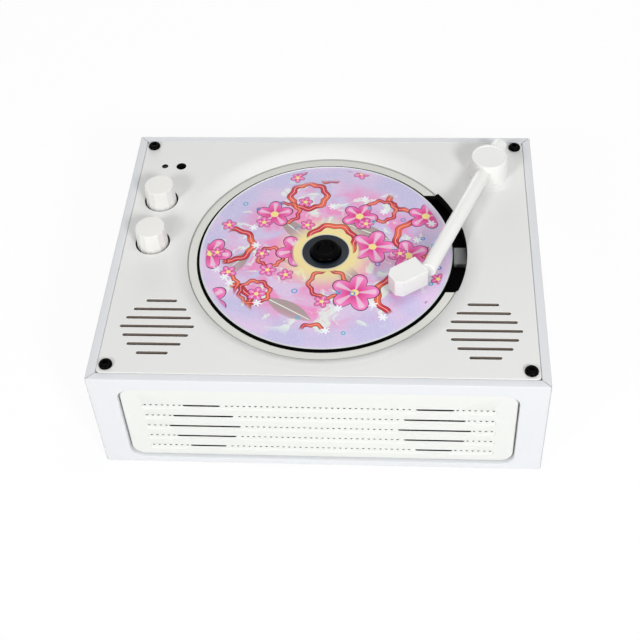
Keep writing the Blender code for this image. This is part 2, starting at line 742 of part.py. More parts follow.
def add_posts(wall, side):
    """Two bored posts on a side wall's inner face."""
    low, high = BOTTOM_TOP + SCREW_BOSS_HEIGHT + GAP, DECK_BOTTOM - GAP
    outer_x = INNER_HALF_WIDTH + OVERLAP
    inner_x = INNER_HALF_WIDTH - POST_WIDTH
    outer_y = INNER_HALF_DEPTH - GRILLE_ROOM
    posts, bores = [], []
    for end in (-1, 1):
        near, far = sorted((side * inner_x, side * outer_x))
        front, back = sorted((end * POST_FACE_Y, end * outer_y))
        posts.append(box("post", (near, front, low), (far, back, high)))
        place = (side * (HALF_WIDTH - SCREW_INSET), end * (HALF_DEPTH - SCREW_INSET))
        bores.append(cylinder(
            "post bore", SHANK_RADIUS + SHANK_CLEARANCE, low - OVERRUN, high + OVERRUN, STEPS_TINY, place
        ))
    join(wall, gathered("posts", posts))
    cut(wall, gathered("post bores", bores))


def charge_z():
    return BOARD_TOP + GAP + CHARGE_HEIGHT / 2


def switch_z():
    return BOARD_TOP + GAP + SWITCH_HEIGHT / 2


def screw_places():
    return corner_places(HALF_WIDTH - SCREW_INSET, HALF_DEPTH - SCREW_INSET)


def build_deck():
    edge_x = INNER_HALF_WIDTH - DECK_GAP
    edge_y = INNER_HALF_DEPTH - DECK_GAP
    deck = box(
        "deck",
        (-edge_x - OVERRUN, -edge_y - OVERRUN, DECK_BOTTOM),
        (edge_x + OVERRUN, edge_y + OVERRUN, CASE_TOP + OVERRUN),
    )
    centre = Matrix.Translation((0, SPINDLE_Y, 0))

    tub_radius = FOOT_LINE_RADIUS + TUB_WALL
    tub_top = (DECK_BOTTOM + CASE_TOP) / 2
    tub = turned(
        "tub",
        [(0, tub_top), (tub_radius + TUB_FLARE, tub_top), (tub_radius, (DECK_BOTTOM + TUB_BOTTOM) / 2),
         (tub_radius, TUB_BOTTOM), (0, TUB_BOTTOM)],
        STEPS_DISC,
    )
    join(deck, transformed(tub, centre))

    bosses, pegs = [], []
    for place in control_peg_places():
        low = CONTROL_BOARD_TOP + GAP
        bosses.append(cylinder("boss", BOSS_RADIUS, low, DECK_BOTTOM + OVERLAP, STEPS_TINY, place))
        tip = CONTROL_BOARD_TOP - CONTROL_BOARD_THICKNESS - PEG_REACH
        pegs.append(cylinder("peg", PEG_RADIUS, tip, low + OVERLAP, STEPS_TINY, place))
    for place in isolator_places():
        low = MECHANISM_BOSS_BOTTOM
        bosses.append(cylinder("boss", MECHANISM_BOSS_RADIUS, low, boss_top(place), STEPS_SMALL, place))
        tip = CHASSIS_BOTTOM - GAP - ISOLATOR_FLANGE - PEG_REACH
        pegs.append(cylinder("peg", PEG_RADIUS, tip, low + OVERLAP, STEPS_TINY, place))
    join(deck, gathered("deck bosses", bosses), gathered("deck pegs", pegs))

    well = turned("well", well_profile(), STEPS_DISC)
    cut(deck, transformed(well, centre))
    envelope = rounded_box(
        "deck envelope", (-edge_x, -edge_y, CASE_BOTTOM), (edge_x, edge_y, CASE_TOP), DECK_CORNER, DECK_EDGE
    )
    boolean(deck, envelope, "INTERSECT")

    reach = FOOT_LINE_RADIUS - GAP
    window = cylinder("window", reach, TUB_BOTTOM - OVERRUN, LEDGE_Z + OVERLAP, STEPS_DISC, (0, SPINDLE_Y))
    frame = box(
        "window frame",
        (WINDOW_LEFT, WINDOW_FRONT, TUB_BOTTOM - 2 * OVERRUN),
        (FOOT_LINE_RADIUS + OVERRUN, WINDOW_BACK, LEDGE_Z + OVERRUN),
    )
    boolean(window, frame, "INTERSECT")
    cut(deck, window)

    low, high = DECK_BOTTOM - OVERRUN, CASE_TOP + OVERRUN
    knob_hole = KNOB_BASE_RADIUS + KNOB_HOLE_GAP
    lamp_hole = INDICATOR_RADIUS + GAP
    holes = [
        cylinder("volume hole", knob_hole, low, high, STEPS_MEDIUM, (KNOB_X, VOLUME_Y)),
        cylinder("mode hole", knob_hole, low, high, STEPS_MEDIUM, (KNOB_X, MODE_Y)),
        cylinder("indicator hole", lamp_hole, low, high, STEPS_SMALL, (INDICATOR_X, TOP_HOLES_Y)),
        cylinder("jack hole", JACK_HOLE_RADIUS, low, high, STEPS_SMALL, (JACK_X, TOP_HOLES_Y)),
        cylinder("arm hole", SLEEVE_RADIUS + GAP, low, high, STEPS_MEDIUM, (PIVOT_X, PIVOT_Y)),
    ]
    for place in screw_places():
        holes.append(cylinder("screw hole", SHANK_RADIUS + SHANK_CLEARANCE, low, high, STEPS_TINY, place))
    cut(deck, gathered("deck holes", holes))

    rows = len(SLOT_LENGTH_SHARES)
    slots = []
    for side in (-1, 1):
        for row, share in enumerate(SLOT_LENGTH_SHARES):
            y = SLOT_CENTRE_Y + (row - (rows - 1) / 2) * SLOT_PITCH
            outline = slot_outline((side * SLOT_CENTRE_X, y), share * SLOT_LENGTH, SLOT_WIDTH)
            slots.append(prism("slot", [outline], low, high))
    cut(deck, gathered("deck slots", slots))
    finish(deck, "top_deck", "deck white")


def boss_top(place):
    """How high a mechanism boss rises: into the tub's floor, or beyond it into the deck's plate."""
    off_centre = math.hypot(place[0], place[1] - SPINDLE_Y)
    under_floor = off_centre + MECHANISM_BOSS_RADIUS < FOOT_LINE_RADIUS
    return TUB_BOTTOM + OVERLAP if under_floor else DECK_BOTTOM + OVERLAP


def well_profile():
    """The well's cutter: down the slope, across the ledge and into the pocket, closed over the top."""
    run = LIP_RADIUS - FOOT_LINE_RADIUS
    start_slope = LIP_STEEPNESS_SHARE * LEDGE_DROP / run
    points = [
        (0, CASE_TOP + 2 * OVERRUN),
        (LIP_RADIUS + OVERRUN, CASE_TOP + 2 * OVERRUN),
        (LIP_RADIUS + OVERRUN, CASE_TOP + start_slope * OVERRUN),
    ]
    for i in range(1, SLOPE_RINGS + 1):
        share = i / SLOPE_RINGS
        drop = LIP_STEEPNESS_SHARE * share + (1 - LIP_STEEPNESS_SHARE) * share * share
        points.append((LIP_RADIUS - share * run, CASE_TOP - drop * LEDGE_DROP))
    points += [(POCKET_RADIUS, LEDGE_Z), (POCKET_RADIUS, POCKET_Z), (0, POCKET_Z)]
    return points


def build_bottom():
    edge_x = INNER_HALF_WIDTH - DECK_GAP
    edge_y = INNER_HALF_DEPTH - DECK_GAP
    low, high = (-edge_x, -edge_y, CASE_BOTTOM), (edge_x, edge_y, BOTTOM_TOP)
    plate = rounded_box("bottom", low, high, DECK_CORNER, 0)
    bosses, pegs = [], []
    for place in board_peg_places():
        bosses.append(cylinder(
            "standoff", STANDOFF_RADIUS, BOTTOM_TOP - OVERLAP, BOARD_BOTTOM - GAP, STEPS_TINY, place
        ))
        low, high = BOARD_BOTTOM - GAP - OVERLAP, BOARD_TOP + PEG_REACH
        pegs.append(cylinder("peg", PEG_RADIUS, low, high, STEPS_TINY, place))
    for place in screw_places():
        low, high = BOTTOM_TOP - OVERLAP, BOTTOM_TOP + SCREW_BOSS_HEIGHT
        bosses.append(cylinder("screw boss", SCREW_BOSS_RADIUS, low, high, STEPS_SMALL, place))
    for side in (-1, 1):
        x = side * CRADLE_PLACE_SHARE * BATTERY_LENGTH
        bosses.append(box(
            "cradle",
            (x - CRADLE_THICKNESS / 2, BATTERY_Y - CRADLE_WIDTH / 2, BOTTOM_TOP - OVERLAP),
            (x + CRADLE_THICKNESS / 2, BATTERY_Y + CRADLE_WIDTH / 2, BOTTOM_TOP + CRADLE_HEIGHT),
        ))
    join(plate, gathered("bottom bosses", bosses), gathered("bottom pegs", pegs))
    left, right = [(side * BATTERY_LENGTH / 2, BATTERY_Y, BATTERY_Z) for side in (-1, 1)]
    seat = rod("battery seat", BATTERY_RADIUS + GAP, left, right, STEPS_LARGE)
    low, high = CASE_BOTTOM + SCREW_FLOOR, BOTTOM_TOP + SCREW_BOSS_HEIGHT + OVERRUN
    bores = [
        cylinder("screw bore", SHANK_RADIUS + GAP, low, high, STEPS_TINY, place)
        for place in screw_places()
    ]
    cut(plate, seat, gathered("screw bores", bores))
    finish(plate, "bottom_plate", "deck white")

    profile = [
        (0, FOOT_HEIGHT), (FOOT_RADIUS, FOOT_HEIGHT), (FOOT_RADIUS, FOOT_EDGE),
        (FOOT_RADIUS - FOOT_EDGE, 0), (0, 0),
    ]
    for depth_name, sy in (("front", -1), ("back", 1)):
        for side_name, sx in (("left", -1), ("right", 1)):
            name = f"foot_{depth_name}_{side_name}"
            foot = turned(name, profile, STEPS_MEDIUM)
            place = (sx * (HALF_WIDTH - FOOT_INSET), sy * (HALF_DEPTH - FOOT_INSET), 0)
            finish(foot, name, "rubber", location=place)


def build_screws():
    """Long screws from the deck, through the posts and into the bottom plate."""
    head_bottom = CASE_TOP + GAP
    length = head_bottom - CASE_BOTTOM - SCREW_FLOOR - GAP
    for depth_name, sy in (("front", -1), ("back", 1)):
        for side_name, sx in (("left", -1), ("right", 1)):
            name = f"deck_screw_{depth_name}_{side_name}"
            screw = socket_screw(name, HEAD_RADIUS, HEAD_THICKNESS, SHANK_RADIUS, length)
            place = Vector((sx * (HALF_WIDTH - SCREW_INSET), sy * (HALF_DEPTH - SCREW_INSET), head_bottom))
            for tool in [m.object for m in screw.modifiers if m.type == "BOOLEAN"]:
                tool.location = place
            finish(screw, name, "black steel", location=place)


def build_grille():
    plate = grille_box("grille", -GRILLE_GAP, -GRILLE_BACK_Y, -GRILLE_FRONT_Y, GRILLE_EDGE)
    flange = grille_box(
        "grille flange", GRILLE_FLANGE_SIDES, -GRILLE_BACK_Y, -GRILLE_BACK_Y + GRILLE_FLANGE, 0,
        GRILLE_FLANGE_TOP, GRILLE_FLANGE_BOTTOM,
    )
    join(plate, flange)

    face = -GRILLE_FRONT_Y
    grooves, slits = [], []
    for row in range(GROOVE_ROWS):
        z = GROOVE_MIDDLE_Z + (row - (GROOVE_ROWS - 1) / 2) * GROOVE_PITCH
        outline = slot_outline((0, z), GROOVE_LENGTH, GROOVE_WIDTH)
        grooves.append(prism("groove", [outline], face - GROOVE_SINK, face + OVERRUN))
        for side in (-1, 1):
            length = SLIT_LENGTH_SHARES[row] * SLIT_LENGTH
            outline = slot_outline((side * SLIT_CENTRE_X, z + SLIT_RAISE), length, SLIT_WIDTH)
            slits.append(prism("slit", [outline], -GRILLE_BACK_Y - OVERRUN, face + OVERRUN))
    cut(plate, gathered("grooves", grooves), gathered("slits", slits))
    tip = -SPEAKER_FRONT_Y - BASKET_SHEET - PEG_REACH
    pegs = [
        cylinder("peg", PEG_RADIUS, tip, -GRILLE_BACK_Y + OVERLAP, STEPS_TINY, place)
        for place in speaker_peg_places()
    ]
    join(plate, gathered("speaker pegs", pegs))
    finish(transformed(plate, front_facing()), "front_grille", "grille white")


def speaker_peg_places():
    """Across each loudspeaker's rim, as X and Z."""
    reach = SPEAKER_RADIUS - SPEAKER_LIP / 2
    places = []
    for side in (-1, 1):
        for end in (-1, 1):
            angle = SPEAKER_PEG_ANGLE * side
            x = side * SLIT_CENTRE_X + end * reach * math.cos(angle)
            z = GROOVE_MIDDLE_Z + end * reach * math.sin(angle)
            places.append((x, z))
    return places


def build_speakers():
    """Each loudspeaker is turned about Z with its depth downwards, then laid to face the front."""
    lip = SPEAKER_RADIUS - SPEAKER_LIP
    back = SPEAKER_DEPTH
    sheet = BASKET_SHEET
    basket = [
        (lip, 0), (SPEAKER_RADIUS, 0), (SPEAKER_RADIUS, -sheet), (lip + sheet, -sheet),
        (BASKET_BACK_RADIUS, -back), (CONE_INNER_RADIUS / 2, -back), (CONE_INNER_RADIUS / 2, sheet - back),
        (BASKET_BACK_RADIUS - sheet, sheet - back), (lip, -2 * sheet),
    ]
    rim = lip - GAP
    roll = SURROUND_WIDTH
    depth = SPEAKER_DEPTH - 3 * BASKET_SHEET - CONE_SHEET
    front = [(across * CONE_INNER_RADIUS, -down * depth) for across, down in CONE_PROFILE_SHARES]
    front.append((rim - roll, -sheet - CONE_SHEET))
    front += [(rim - share * roll, -sheet / 2) for share in SURROUND_CREST_SHARES]
    front.append((rim, -sheet))
    cone = front + [(r, z - CONE_SHEET) for r, z in reversed(front)]
    magnet = [
        (0, -back - GAP), (MAGNET_RADIUS, -back - GAP), (MAGNET_RADIUS, -back - GAP - MAGNET_THICKNESS),
        (0, -back - GAP - MAGNET_THICKNESS),
    ]
    for side, name in ((-1, "left"), (1, "right")):
        lay = Matrix.Translation((side * SLIT_CENTRE_X, SPEAKER_FRONT_Y, GROOVE_MIDDLE_Z)) @ front_facing()
        shell = transformed(turned("basket", basket, STEPS_LARGE, ring=True), lay)
        own = [place for place in speaker_peg_places() if place[0] * side > 0]
        near, far = SPEAKER_FRONT_Y - OVERRUN, SPEAKER_FRONT_Y + BASKET_SHEET + OVERRUN
        holes = [rod("rim hole", PEG_RADIUS + GAP, (x, near, z), (x, far, z), STEPS_TINY) for x, z in own]
        cut(shell, gathered("rim holes", holes))
        finish(shell, f"speaker_basket_{name}", "black steel")
        paper = transformed(turned("cone", cone, STEPS_LARGE), lay)
        finish(paper, f"speaker_cone_{name}", "paper")
        ferrite = transformed(turned("magnet", magnet, STEPS_MEDIUM), lay)
        finish(ferrite, f"speaker_magnet_{name}", "ferrite")


def control_peg_places():
    """Between the volume control and the sockets behind it, and between the two controls."""
    behind = (VOLUME_Y + CONTROL_SIZE / 2 + TOP_HOLES_Y - JACK_BODY / 2) / 2
    return [(KNOB_X, behind), (KNOB_X, (VOLUME_Y + MODE_Y) / 2)]


def knob(name, bottom):
    """A faceted knob whose origin is on its axis at the deck's face, with a blind bore for its shaft."""
    bm = bmesh.new()
    bmesh.ops.create_cone(
        bm, cap_ends=True, segments=KNOB_FACETS, radius1=KNOB_BASE_RADIUS, radius2=KNOB_TOP_RADIUS,
        depth=KNOB_HEIGHT - bottom,
    )
    bmesh.ops.translate(bm, vec=(0, 0, (KNOB_HEIGHT + bottom) / 2), verts=bm.verts)
    rims = [e for e in bm.edges if min(v.co.z for v in e.verts) > KNOB_HEIGHT - WELD]
    bmesh.ops.bevel(bm, geom=rims, offset=KNOB_EDGE, segments=2, affect="EDGES", profile=0.5)
    body = new_object(name, bm)
    roof = KNOB_HEIGHT - KNOB_ROOF
    bore = cylinder(f"{name} bore", SHAFT_RADIUS + GAP, bottom - OVERRUN, roof, STEPS_SMALL)
    cut(body, bore)
    return body, bore


def control_body(name, y):
    """A square control with a round bush, open from above for its shaft."""
    half = CONTROL_SIZE / 2
    body = box(name, (KNOB_X - half, y - half, CONTROL_BOTTOM), (KNOB_X + half, y + half, CONTROL_TOP))
    low, high = CONTROL_TOP - OVERLAP, CONTROL_TOP + BUSH_LENGTH
    bush = cylinder(f"{name} bush", BUSH_RADIUS, low, high, STEPS_SMALL, (KNOB_X, y))
    join(body, bush)
    return body


def shaft_bore(name, y, low):
    high = CONTROL_TOP + BUSH_LENGTH + OVERRUN
    return cylinder(name, SHAFT_RADIUS + GAP, low, high, STEPS_SMALL, (KNOB_X, y))


def build_volume_control():
    volume = axis("volume_axis", (KNOB_X, VOLUME_Y, CASE_TOP))
    body, bore = knob("volume knob", -KNOB_SINK)
    bore.parent = volume
    finish(body, "volume_knob", "arm white", volume)
    low = CONTROL_BOTTOM + CONTROL_FLOOR
    shaft = cylinder("volume shaft", SHAFT_RADIUS, low + GAP - CASE_TOP, SHAFT_TOP - CASE_TOP, STEPS_SMALL)
    finish(shaft, "volume_shaft", "steel", volume)
    pot = control_body("volume pot", VOLUME_Y)
    cut(pot, shaft_bore("volume bore", VOLUME_Y, low))
    finish(pot, "volume_pot", "grey plastic")


def build_mode_control():
    """The knob and its shaft turn, and press the plunger down through the encoder."""
    press = axis("mode_press_axis", (KNOB_X, MODE_Y, CASE_TOP))
    mode = axis("mode_turn_axis", (0, 0, 0))
    mode.parent = press
    body, bore = knob("mode knob", -KNOB_SINK)
    bore.parent = mode
    finish(body, "mode_knob", "arm white", mode)
    plunger_low = CONTROL_BOTTOM + PRESS_TRAVEL + 2 * GAP
    plunger_high = plunger_low + PLUNGER_THICKNESS
    room_top = plunger_high + 2 * GAP
    low, high = plunger_high + GAP - CASE_TOP, SHAFT_TOP - CASE_TOP
    finish(cylinder("mode shaft", SHAFT_RADIUS, low, high, STEPS_SMALL), "mode_shaft", "steel", mode)
    low, high = plunger_low - CASE_TOP, plunger_high - CASE_TOP
    plunger = cylinder("mode plunger", PLUNGER_RADIUS, low, high, STEPS_SMALL)
    finish(plunger, "mode_plunger", "black plastic", press)
    encoder = control_body("mode encoder", MODE_Y)
    cut(encoder, shaft_bore("mode bore", MODE_Y, room_top - GAP))
    low = CONTROL_BOTTOM - OVERRUN
    cut(encoder, cylinder("plunger room", PLUNGER_RADIUS + GAP, low, room_top, STEPS_SMALL, (KNOB_X, MODE_Y)))
    finish(encoder, "mode_encoder", "grey plastic")


def build_control_board():
    """The board under the controls, with the indicator's lens and the headphone jack on it."""
    half = CONTROL_BOARD_WIDTH / 2
    front = MODE_Y - CONTROL_SIZE / 2 - CONTROL_BOARD_MARGIN
    back = TOP_HOLES_Y + CONTROL_BOARD_MARGIN
    bottom = CONTROL_BOARD_TOP - CONTROL_BOARD_THICKNESS
    board = box("control board", (KNOB_X - half, front, bottom), (KNOB_X + half, back, CONTROL_BOARD_TOP))
    low, high = bottom - OVERRUN, CONTROL_BOARD_TOP + OVERRUN
    holes = [
        cylinder("board hole", PEG_RADIUS + GAP, low, high, STEPS_TINY, place)
        for place in control_peg_places()
    ]
    cut(board, gathered("control board holes", holes))
    finish(board, "control_board", "board green")

    lamp = cylinder(
        "indicator", INDICATOR_RADIUS, CONTROL_BOTTOM, CASE_TOP - INDICATOR_SINK, STEPS_SMALL,
        (INDICATOR_X, TOP_HOLES_Y),
    )
    finish(lamp, "indicator_lens", "gloss black")

    half = JACK_BODY / 2
    low, high = CONTROL_BOTTOM, DECK_BOTTOM - GAP
    jack = box("jack", (JACK_X - half, TOP_HOLES_Y - half, low), (JACK_X + half, TOP_HOLES_Y + half, high))
    bore = cylinder(
        "jack bore", JACK_BORE_RADIUS, low + JACK_FLOOR, high + OVERRUN, STEPS_SMALL, (JACK_X, TOP_HOLES_Y)
    )
    cut(jack, bore)
    finish(jack, "headphone_jack", "gloss black")


def build_tonearm():
    """Everything that swings is drawn along +X from the pivot, with the deck's face at z = 0."""
    collar = CASE_TOP + GAP
    base_top = collar + BASE_THICKNESS
    sleeve_bottom = CASE_TOP - SLEEVE_DEPTH
    bore = ARM_SHAFT_RADIUS + GAP
    base = [
        (bore, base_top), (BASE_RADIUS - BASE_THICKNESS, base_top), (BASE_RADIUS, collar),
        (SLEEVE_RADIUS, collar), (SLEEVE_RADIUS, sleeve_bottom), (bore, sleeve_bottom),
    ]
    finish(turned("tonearm base", base, STEPS_LARGE, ring=True), "tonearm_base", "arm white",
           location=(PIVOT_X, PIVOT_Y, 0))

    arm = axis("tonearm_axis", (PIVOT_X, PIVOT_Y, CASE_TOP), (0, 0, ARM_ANGLE))
    cap_bottom = GAP + BASE_THICKNESS + GAP
    cap = turned(
        "cap",
        [(0, CAP_HEIGHT), (CAP_TOP_RADIUS - CAP_EDGE, CAP_HEIGHT), (CAP_TOP_RADIUS, CAP_HEIGHT - CAP_EDGE),
         (CAP_BASE_RADIUS, cap_bottom), (0, cap_bottom)],
        STEPS_LARGE,
    )
    hole = TUBE_RADIUS + GAP
    reach = CAP_BASE_RADIUS + OVERRUN
    cross = rod("arm bore", hole, (-reach, 0, ARM_LIFT), (reach, 0, ARM_LIFT), STEPS_MEDIUM)
    socket = cylinder("shaft socket", bore, cap_bottom - OVERRUN, ARM_LIFT - TUBE_RADIUS, STEPS_SMALL)
    for tool in (cross, socket):
        tool.parent = arm
    cut(cap, cross, socket)
    finish(cap, "tonearm_cap", "arm white", arm)

    tube = rod("tube", TUBE_RADIUS, (-TUBE_TAIL, 0, ARM_LIFT), (TUBE_REACH, 0, ARM_LIFT), STEPS_MEDIUM)
    neck_z = HEAD_CLEARANCE + HEAD_HEIGHT - NECK_RADIUS - 3 * HEAD_EDGE
    heading = Vector((HEAD_AHEAD + NECK_BACK, -HEAD_ASIDE, 0)).normalized()
    neck_start = Vector((TUBE_REACH - NECK_BACK, 0, neck_z))
    neck_end = neck_start + heading * NECK_LENGTH
    neck = rod("neck", NECK_RADIUS, neck_start, neck_end, STEPS_TINY)
    neck.parent = arm
    join(tube, neck)
    finish(tube, "tonearm_tube", "arm white", arm)

    head = box(
        "head",
        (-HEAD_LENGTH / 2, -HEAD_WIDTH / 2, HEAD_CLEARANCE),
        (HEAD_LENGTH / 2, HEAD_WIDTH / 2, HEAD_CLEARANCE + HEAD_HEIGHT),
    )
    bm = bmesh.new()
    bm.from_mesh(head.data)
    nose = [
        e for e in bm.edges
        if all(v.co.x > 0 for v in e.verts) and abs(e.verts[0].co.z - e.verts[1].co.z) > HEAD_EDGE
    ]
    bmesh.ops.bevel(bm, geom=nose, offset=HEAD_NOSE_CHAMFER, segments=1, affect="EDGES")
    bm.to_mesh(head.data)
    bm.free()
    middle = Matrix.Translation((TUBE_REACH + HEAD_AHEAD, -HEAD_ASIDE, 0))
    head.data.transform(middle @ Matrix.Rotation(HEAD_TURN, 4, "Z"))
    bevel = head.modifiers.new("Edges", "BEVEL")
    bevel.width = HEAD_EDGE
    bevel.segments = 1
    bevel.limit_method = "ANGLE"
    socket = rod("tube seat", hole, (0, 0, ARM_LIFT), (TUBE_REACH + GAP, 0, ARM_LIFT), STEPS_MEDIUM)
    seat = rod("neck seat", NECK_RADIUS + GAP, neck_start, neck_end + heading * GAP, STEPS_TINY)
    for tool in (socket, seat):
        tool.parent = arm
    cut(head, socket, seat)
    finish(head, "headshell", "arm white", arm)

    shoulder = CAP_BASE_RADIUS + GAP
    spigot_end = TUBE_TAIL + GAP
    weight = turned(
        "weight",
        [(0, WEIGHT_END), (WEIGHT_RADIUS - WEIGHT_GROOVE, WEIGHT_END),
         (WEIGHT_RADIUS, WEIGHT_END - WEIGHT_GROOVE), (WEIGHT_RADIUS, shoulder),
         (WEIGHT_SPIGOT_RADIUS, shoulder), (WEIGHT_SPIGOT_RADIUS, spigot_end), (0, spigot_end)],
        STEPS_MEDIUM,
    )
    lay = Matrix.Translation((0, 0, ARM_LIFT)) @ Matrix.Rotation(-math.pi / 2, 4, "Y")
    finish(transformed(weight, lay), "counterweight", "arm white", arm)

    groove_top = -SLEEVE_DEPTH
    groove_bottom = groove_top - CLIP_THICKNESS - 2 * GAP
    neck_radius = ARM_SHAFT_RADIUS - GROOVE_DEPTH
    top = ARM_LIFT - TUBE_RADIUS - GAP
    shaft = turned(
        "arm shaft",
        [(0, top), (ARM_SHAFT_RADIUS, top), (ARM_SHAFT_RADIUS, groove_top), (neck_radius, groove_top),
         (neck_radius, groove_bottom), (ARM_SHAFT_RADIUS, groove_bottom),
         (ARM_SHAFT_RADIUS, -ARM_SHAFT_DEPTH), (0, -ARM_SHAFT_DEPTH)],
        STEPS_SMALL,
    )
    finish(shaft, "tonearm_shaft", "steel", arm)
    start, end = CLIP_MOUTH / 2, 2 * math.pi - CLIP_MOUTH / 2
    outline = arc((0, 0), CLIP_RADIUS, start, end, STEPS_SMALL)
    outline += arc((0, 0), neck_radius + GAP, end, start, STEPS_SMALL)
    clip = prism("clip", [outline], groove_top - GAP - CLIP_THICKNESS, groove_top - GAP)
    finish(clip, "tonearm_clip", "steel", arm)


def chassis_right():
    return rod_ends()[1] + CHASSIS_END_MARGIN


def isolator_places():
    low_x = WINDOW_LEFT - CHASSIS_MARGIN + ISOLATOR_INSET
    high_x = chassis_right() - ISOLATOR_INSET
    low_y = WINDOW_FRONT - CHASSIS_MARGIN + ISOLATOR_INSET
    high_y = WINDOW_BACK + CHASSIS_MARGIN - ISOLATOR_INSET
    return [(x, y) for x in (low_x, high_x) for y in (low_y, high_y)]


def rod_ends():
    """The guide rods' ends in X: just inside the outer faces of the lugs that hold them."""
    start = LENS_START - SLED_LENGTH / 2 - LUG_GAP - LUG_THICKNESS
    end = LENS_START + SLED_TRAVEL + SLED_LENGTH / 2 + LUG_GAP + LUG_THICKNESS
    return start, end


def lug_boxes():
    """Four tabs under the chassis, two for each guide rod."""
    start, end = rod_ends()
    lugs = []
    for y in (FRONT_ROD_Y, BACK_ROD_Y):
        for x in (start, end - LUG_THICKNESS):
            lugs.append(box(
                "lug",
                (x, y - LUG_WIDTH / 2, ROD_Z - LUG_WIDTH / 2),
                (x + LUG_THICKNESS, y + LUG_WIDTH / 2, CHASSIS_BOTTOM + OVERLAP),
            ))
    return lugs


def gear_top():
    return SLED_BOTTOM + RACK_RAISE + RACK_HEIGHT


def build_chassis():
    low = (WINDOW_LEFT - CHASSIS_MARGIN, WINDOW_FRONT - CHASSIS_MARGIN, CHASSIS_BOTTOM)
    high = (chassis_right(), WINDOW_BACK + CHASSIS_MARGIN, CHASSIS_TOP)
    chassis = rounded_box("chassis", low, high, CHASSIS_CORNER, 0)
    pin_low, pin_high = gear_top() + 2 * GAP, CHASSIS_BOTTOM + OVERLAP
    boss = cylinder("pin boss", PIN_BOSS_RADIUS, pin_low, pin_high, STEPS_SMALL, (GEAR_X, GEAR_Y))
    join(chassis, gathered("chassis tabs", lug_boxes() + [boss]))

    below, above = CHASSIS_BOTTOM - OVERRUN, CHASSIS_TOP + OVERRUN
    half = TOWER_SIZE / 2 + SLOT_SIDE_GAP
    slot = box(
        "lens slot",
        (LENS_START - half, SPINDLE_Y - half, below),
        (LENS_START + SLED_TRAVEL + TOWER_SIZE / 2 + GAP, SPINDLE_Y + half, above),
    )
    holes = [slot, cylinder("spindle hole", HUB_NECK_RADIUS, below, above, STEPS_SMALL, (0, SPINDLE_Y))]
    isolator_hole = ISOLATOR_NECK_RADIUS + GAP
    for place in isolator_places():
        holes.append(cylinder("isolator hole", isolator_hole, below, above, STEPS_SMALL, place))
    holes.append(cylinder(
        "pin hole", PIN_RADIUS + GAP, gear_top() - OVERRUN, above, STEPS_TINY, (GEAR_X, GEAR_Y)
    ))
    cut(chassis, gathered("chassis holes", holes))
    start, end = rod_ends()
    left, right = start - OVERRUN, end + OVERRUN
    bores = [
        rod("rod hole", ROD_RADIUS + GAP, (left, y, ROD_Z), (right, y, ROD_Z), STEPS_TINY)
        for y in (FRONT_ROD_Y, BACK_ROD_Y)
    ]
    cut(chassis, gathered("rod holes", bores))
    finish(chassis, "mechanism_chassis", "black plastic")


def build_mechanism_fixings():
    flange_top = CHASSIS_TOP + GAP + ISOLATOR_FLANGE
    flange_bottom = CHASSIS_BOTTOM - GAP - ISOLATOR_FLANGE
    bore = PEG_RADIUS + GAP
    profile = [
        (bore, flange_top), (ISOLATOR_RADIUS, flange_top), (ISOLATOR_RADIUS, CHASSIS_TOP + GAP),
        (ISOLATOR_NECK_RADIUS, CHASSIS_TOP + GAP), (ISOLATOR_NECK_RADIUS, CHASSIS_BOTTOM - GAP),
        (ISOLATOR_RADIUS, CHASSIS_BOTTOM - GAP), (ISOLATOR_RADIUS, flange_bottom), (bore, flange_bottom),
    ]
    names = ("front_left", "back_left", "front_right", "back_right")
    for name, (x, y) in zip(names, isolator_places()):
        isolator = turned(f"isolator {name}", profile, STEPS_SMALL, ring=True)
        finish(isolator, f"isolator_{name}", "rubber", location=(x, y, 0))

    rest = LENS_START + SLED_TRAVEL + TOWER_SIZE / 2 + 2 * GAP
    left = rest + SLOT_SIDE_GAP / 2
    y = SPINDLE_Y + BRACKET_ASIDE
    bracket = box(
        "bracket",
        (left, y - BRACKET_WIDTH / 2, CHASSIS_TOP + GAP),
        (left + BRACKET_LENGTH, y + BRACKET_WIDTH / 2, CHASSIS_TOP + GAP + BRACKET_HEIGHT),
    )
    bevel = bracket.modifiers.new("Edges", "BEVEL")
    bevel.width = BRACKET_EDGE
    bevel.segments = 1
    finish(bracket, "rail_bracket", "grey plastic")

    start, end = rod_ends()
    for name, y in (("guide_rod_front", FRONT_ROD_Y), ("guide_rod_back", BACK_ROD_Y)):
        finish(rod(name, ROD_RADIUS, (start, y, ROD_Z), (end, y, ROD_Z), STEPS_SMALL), name, "steel")


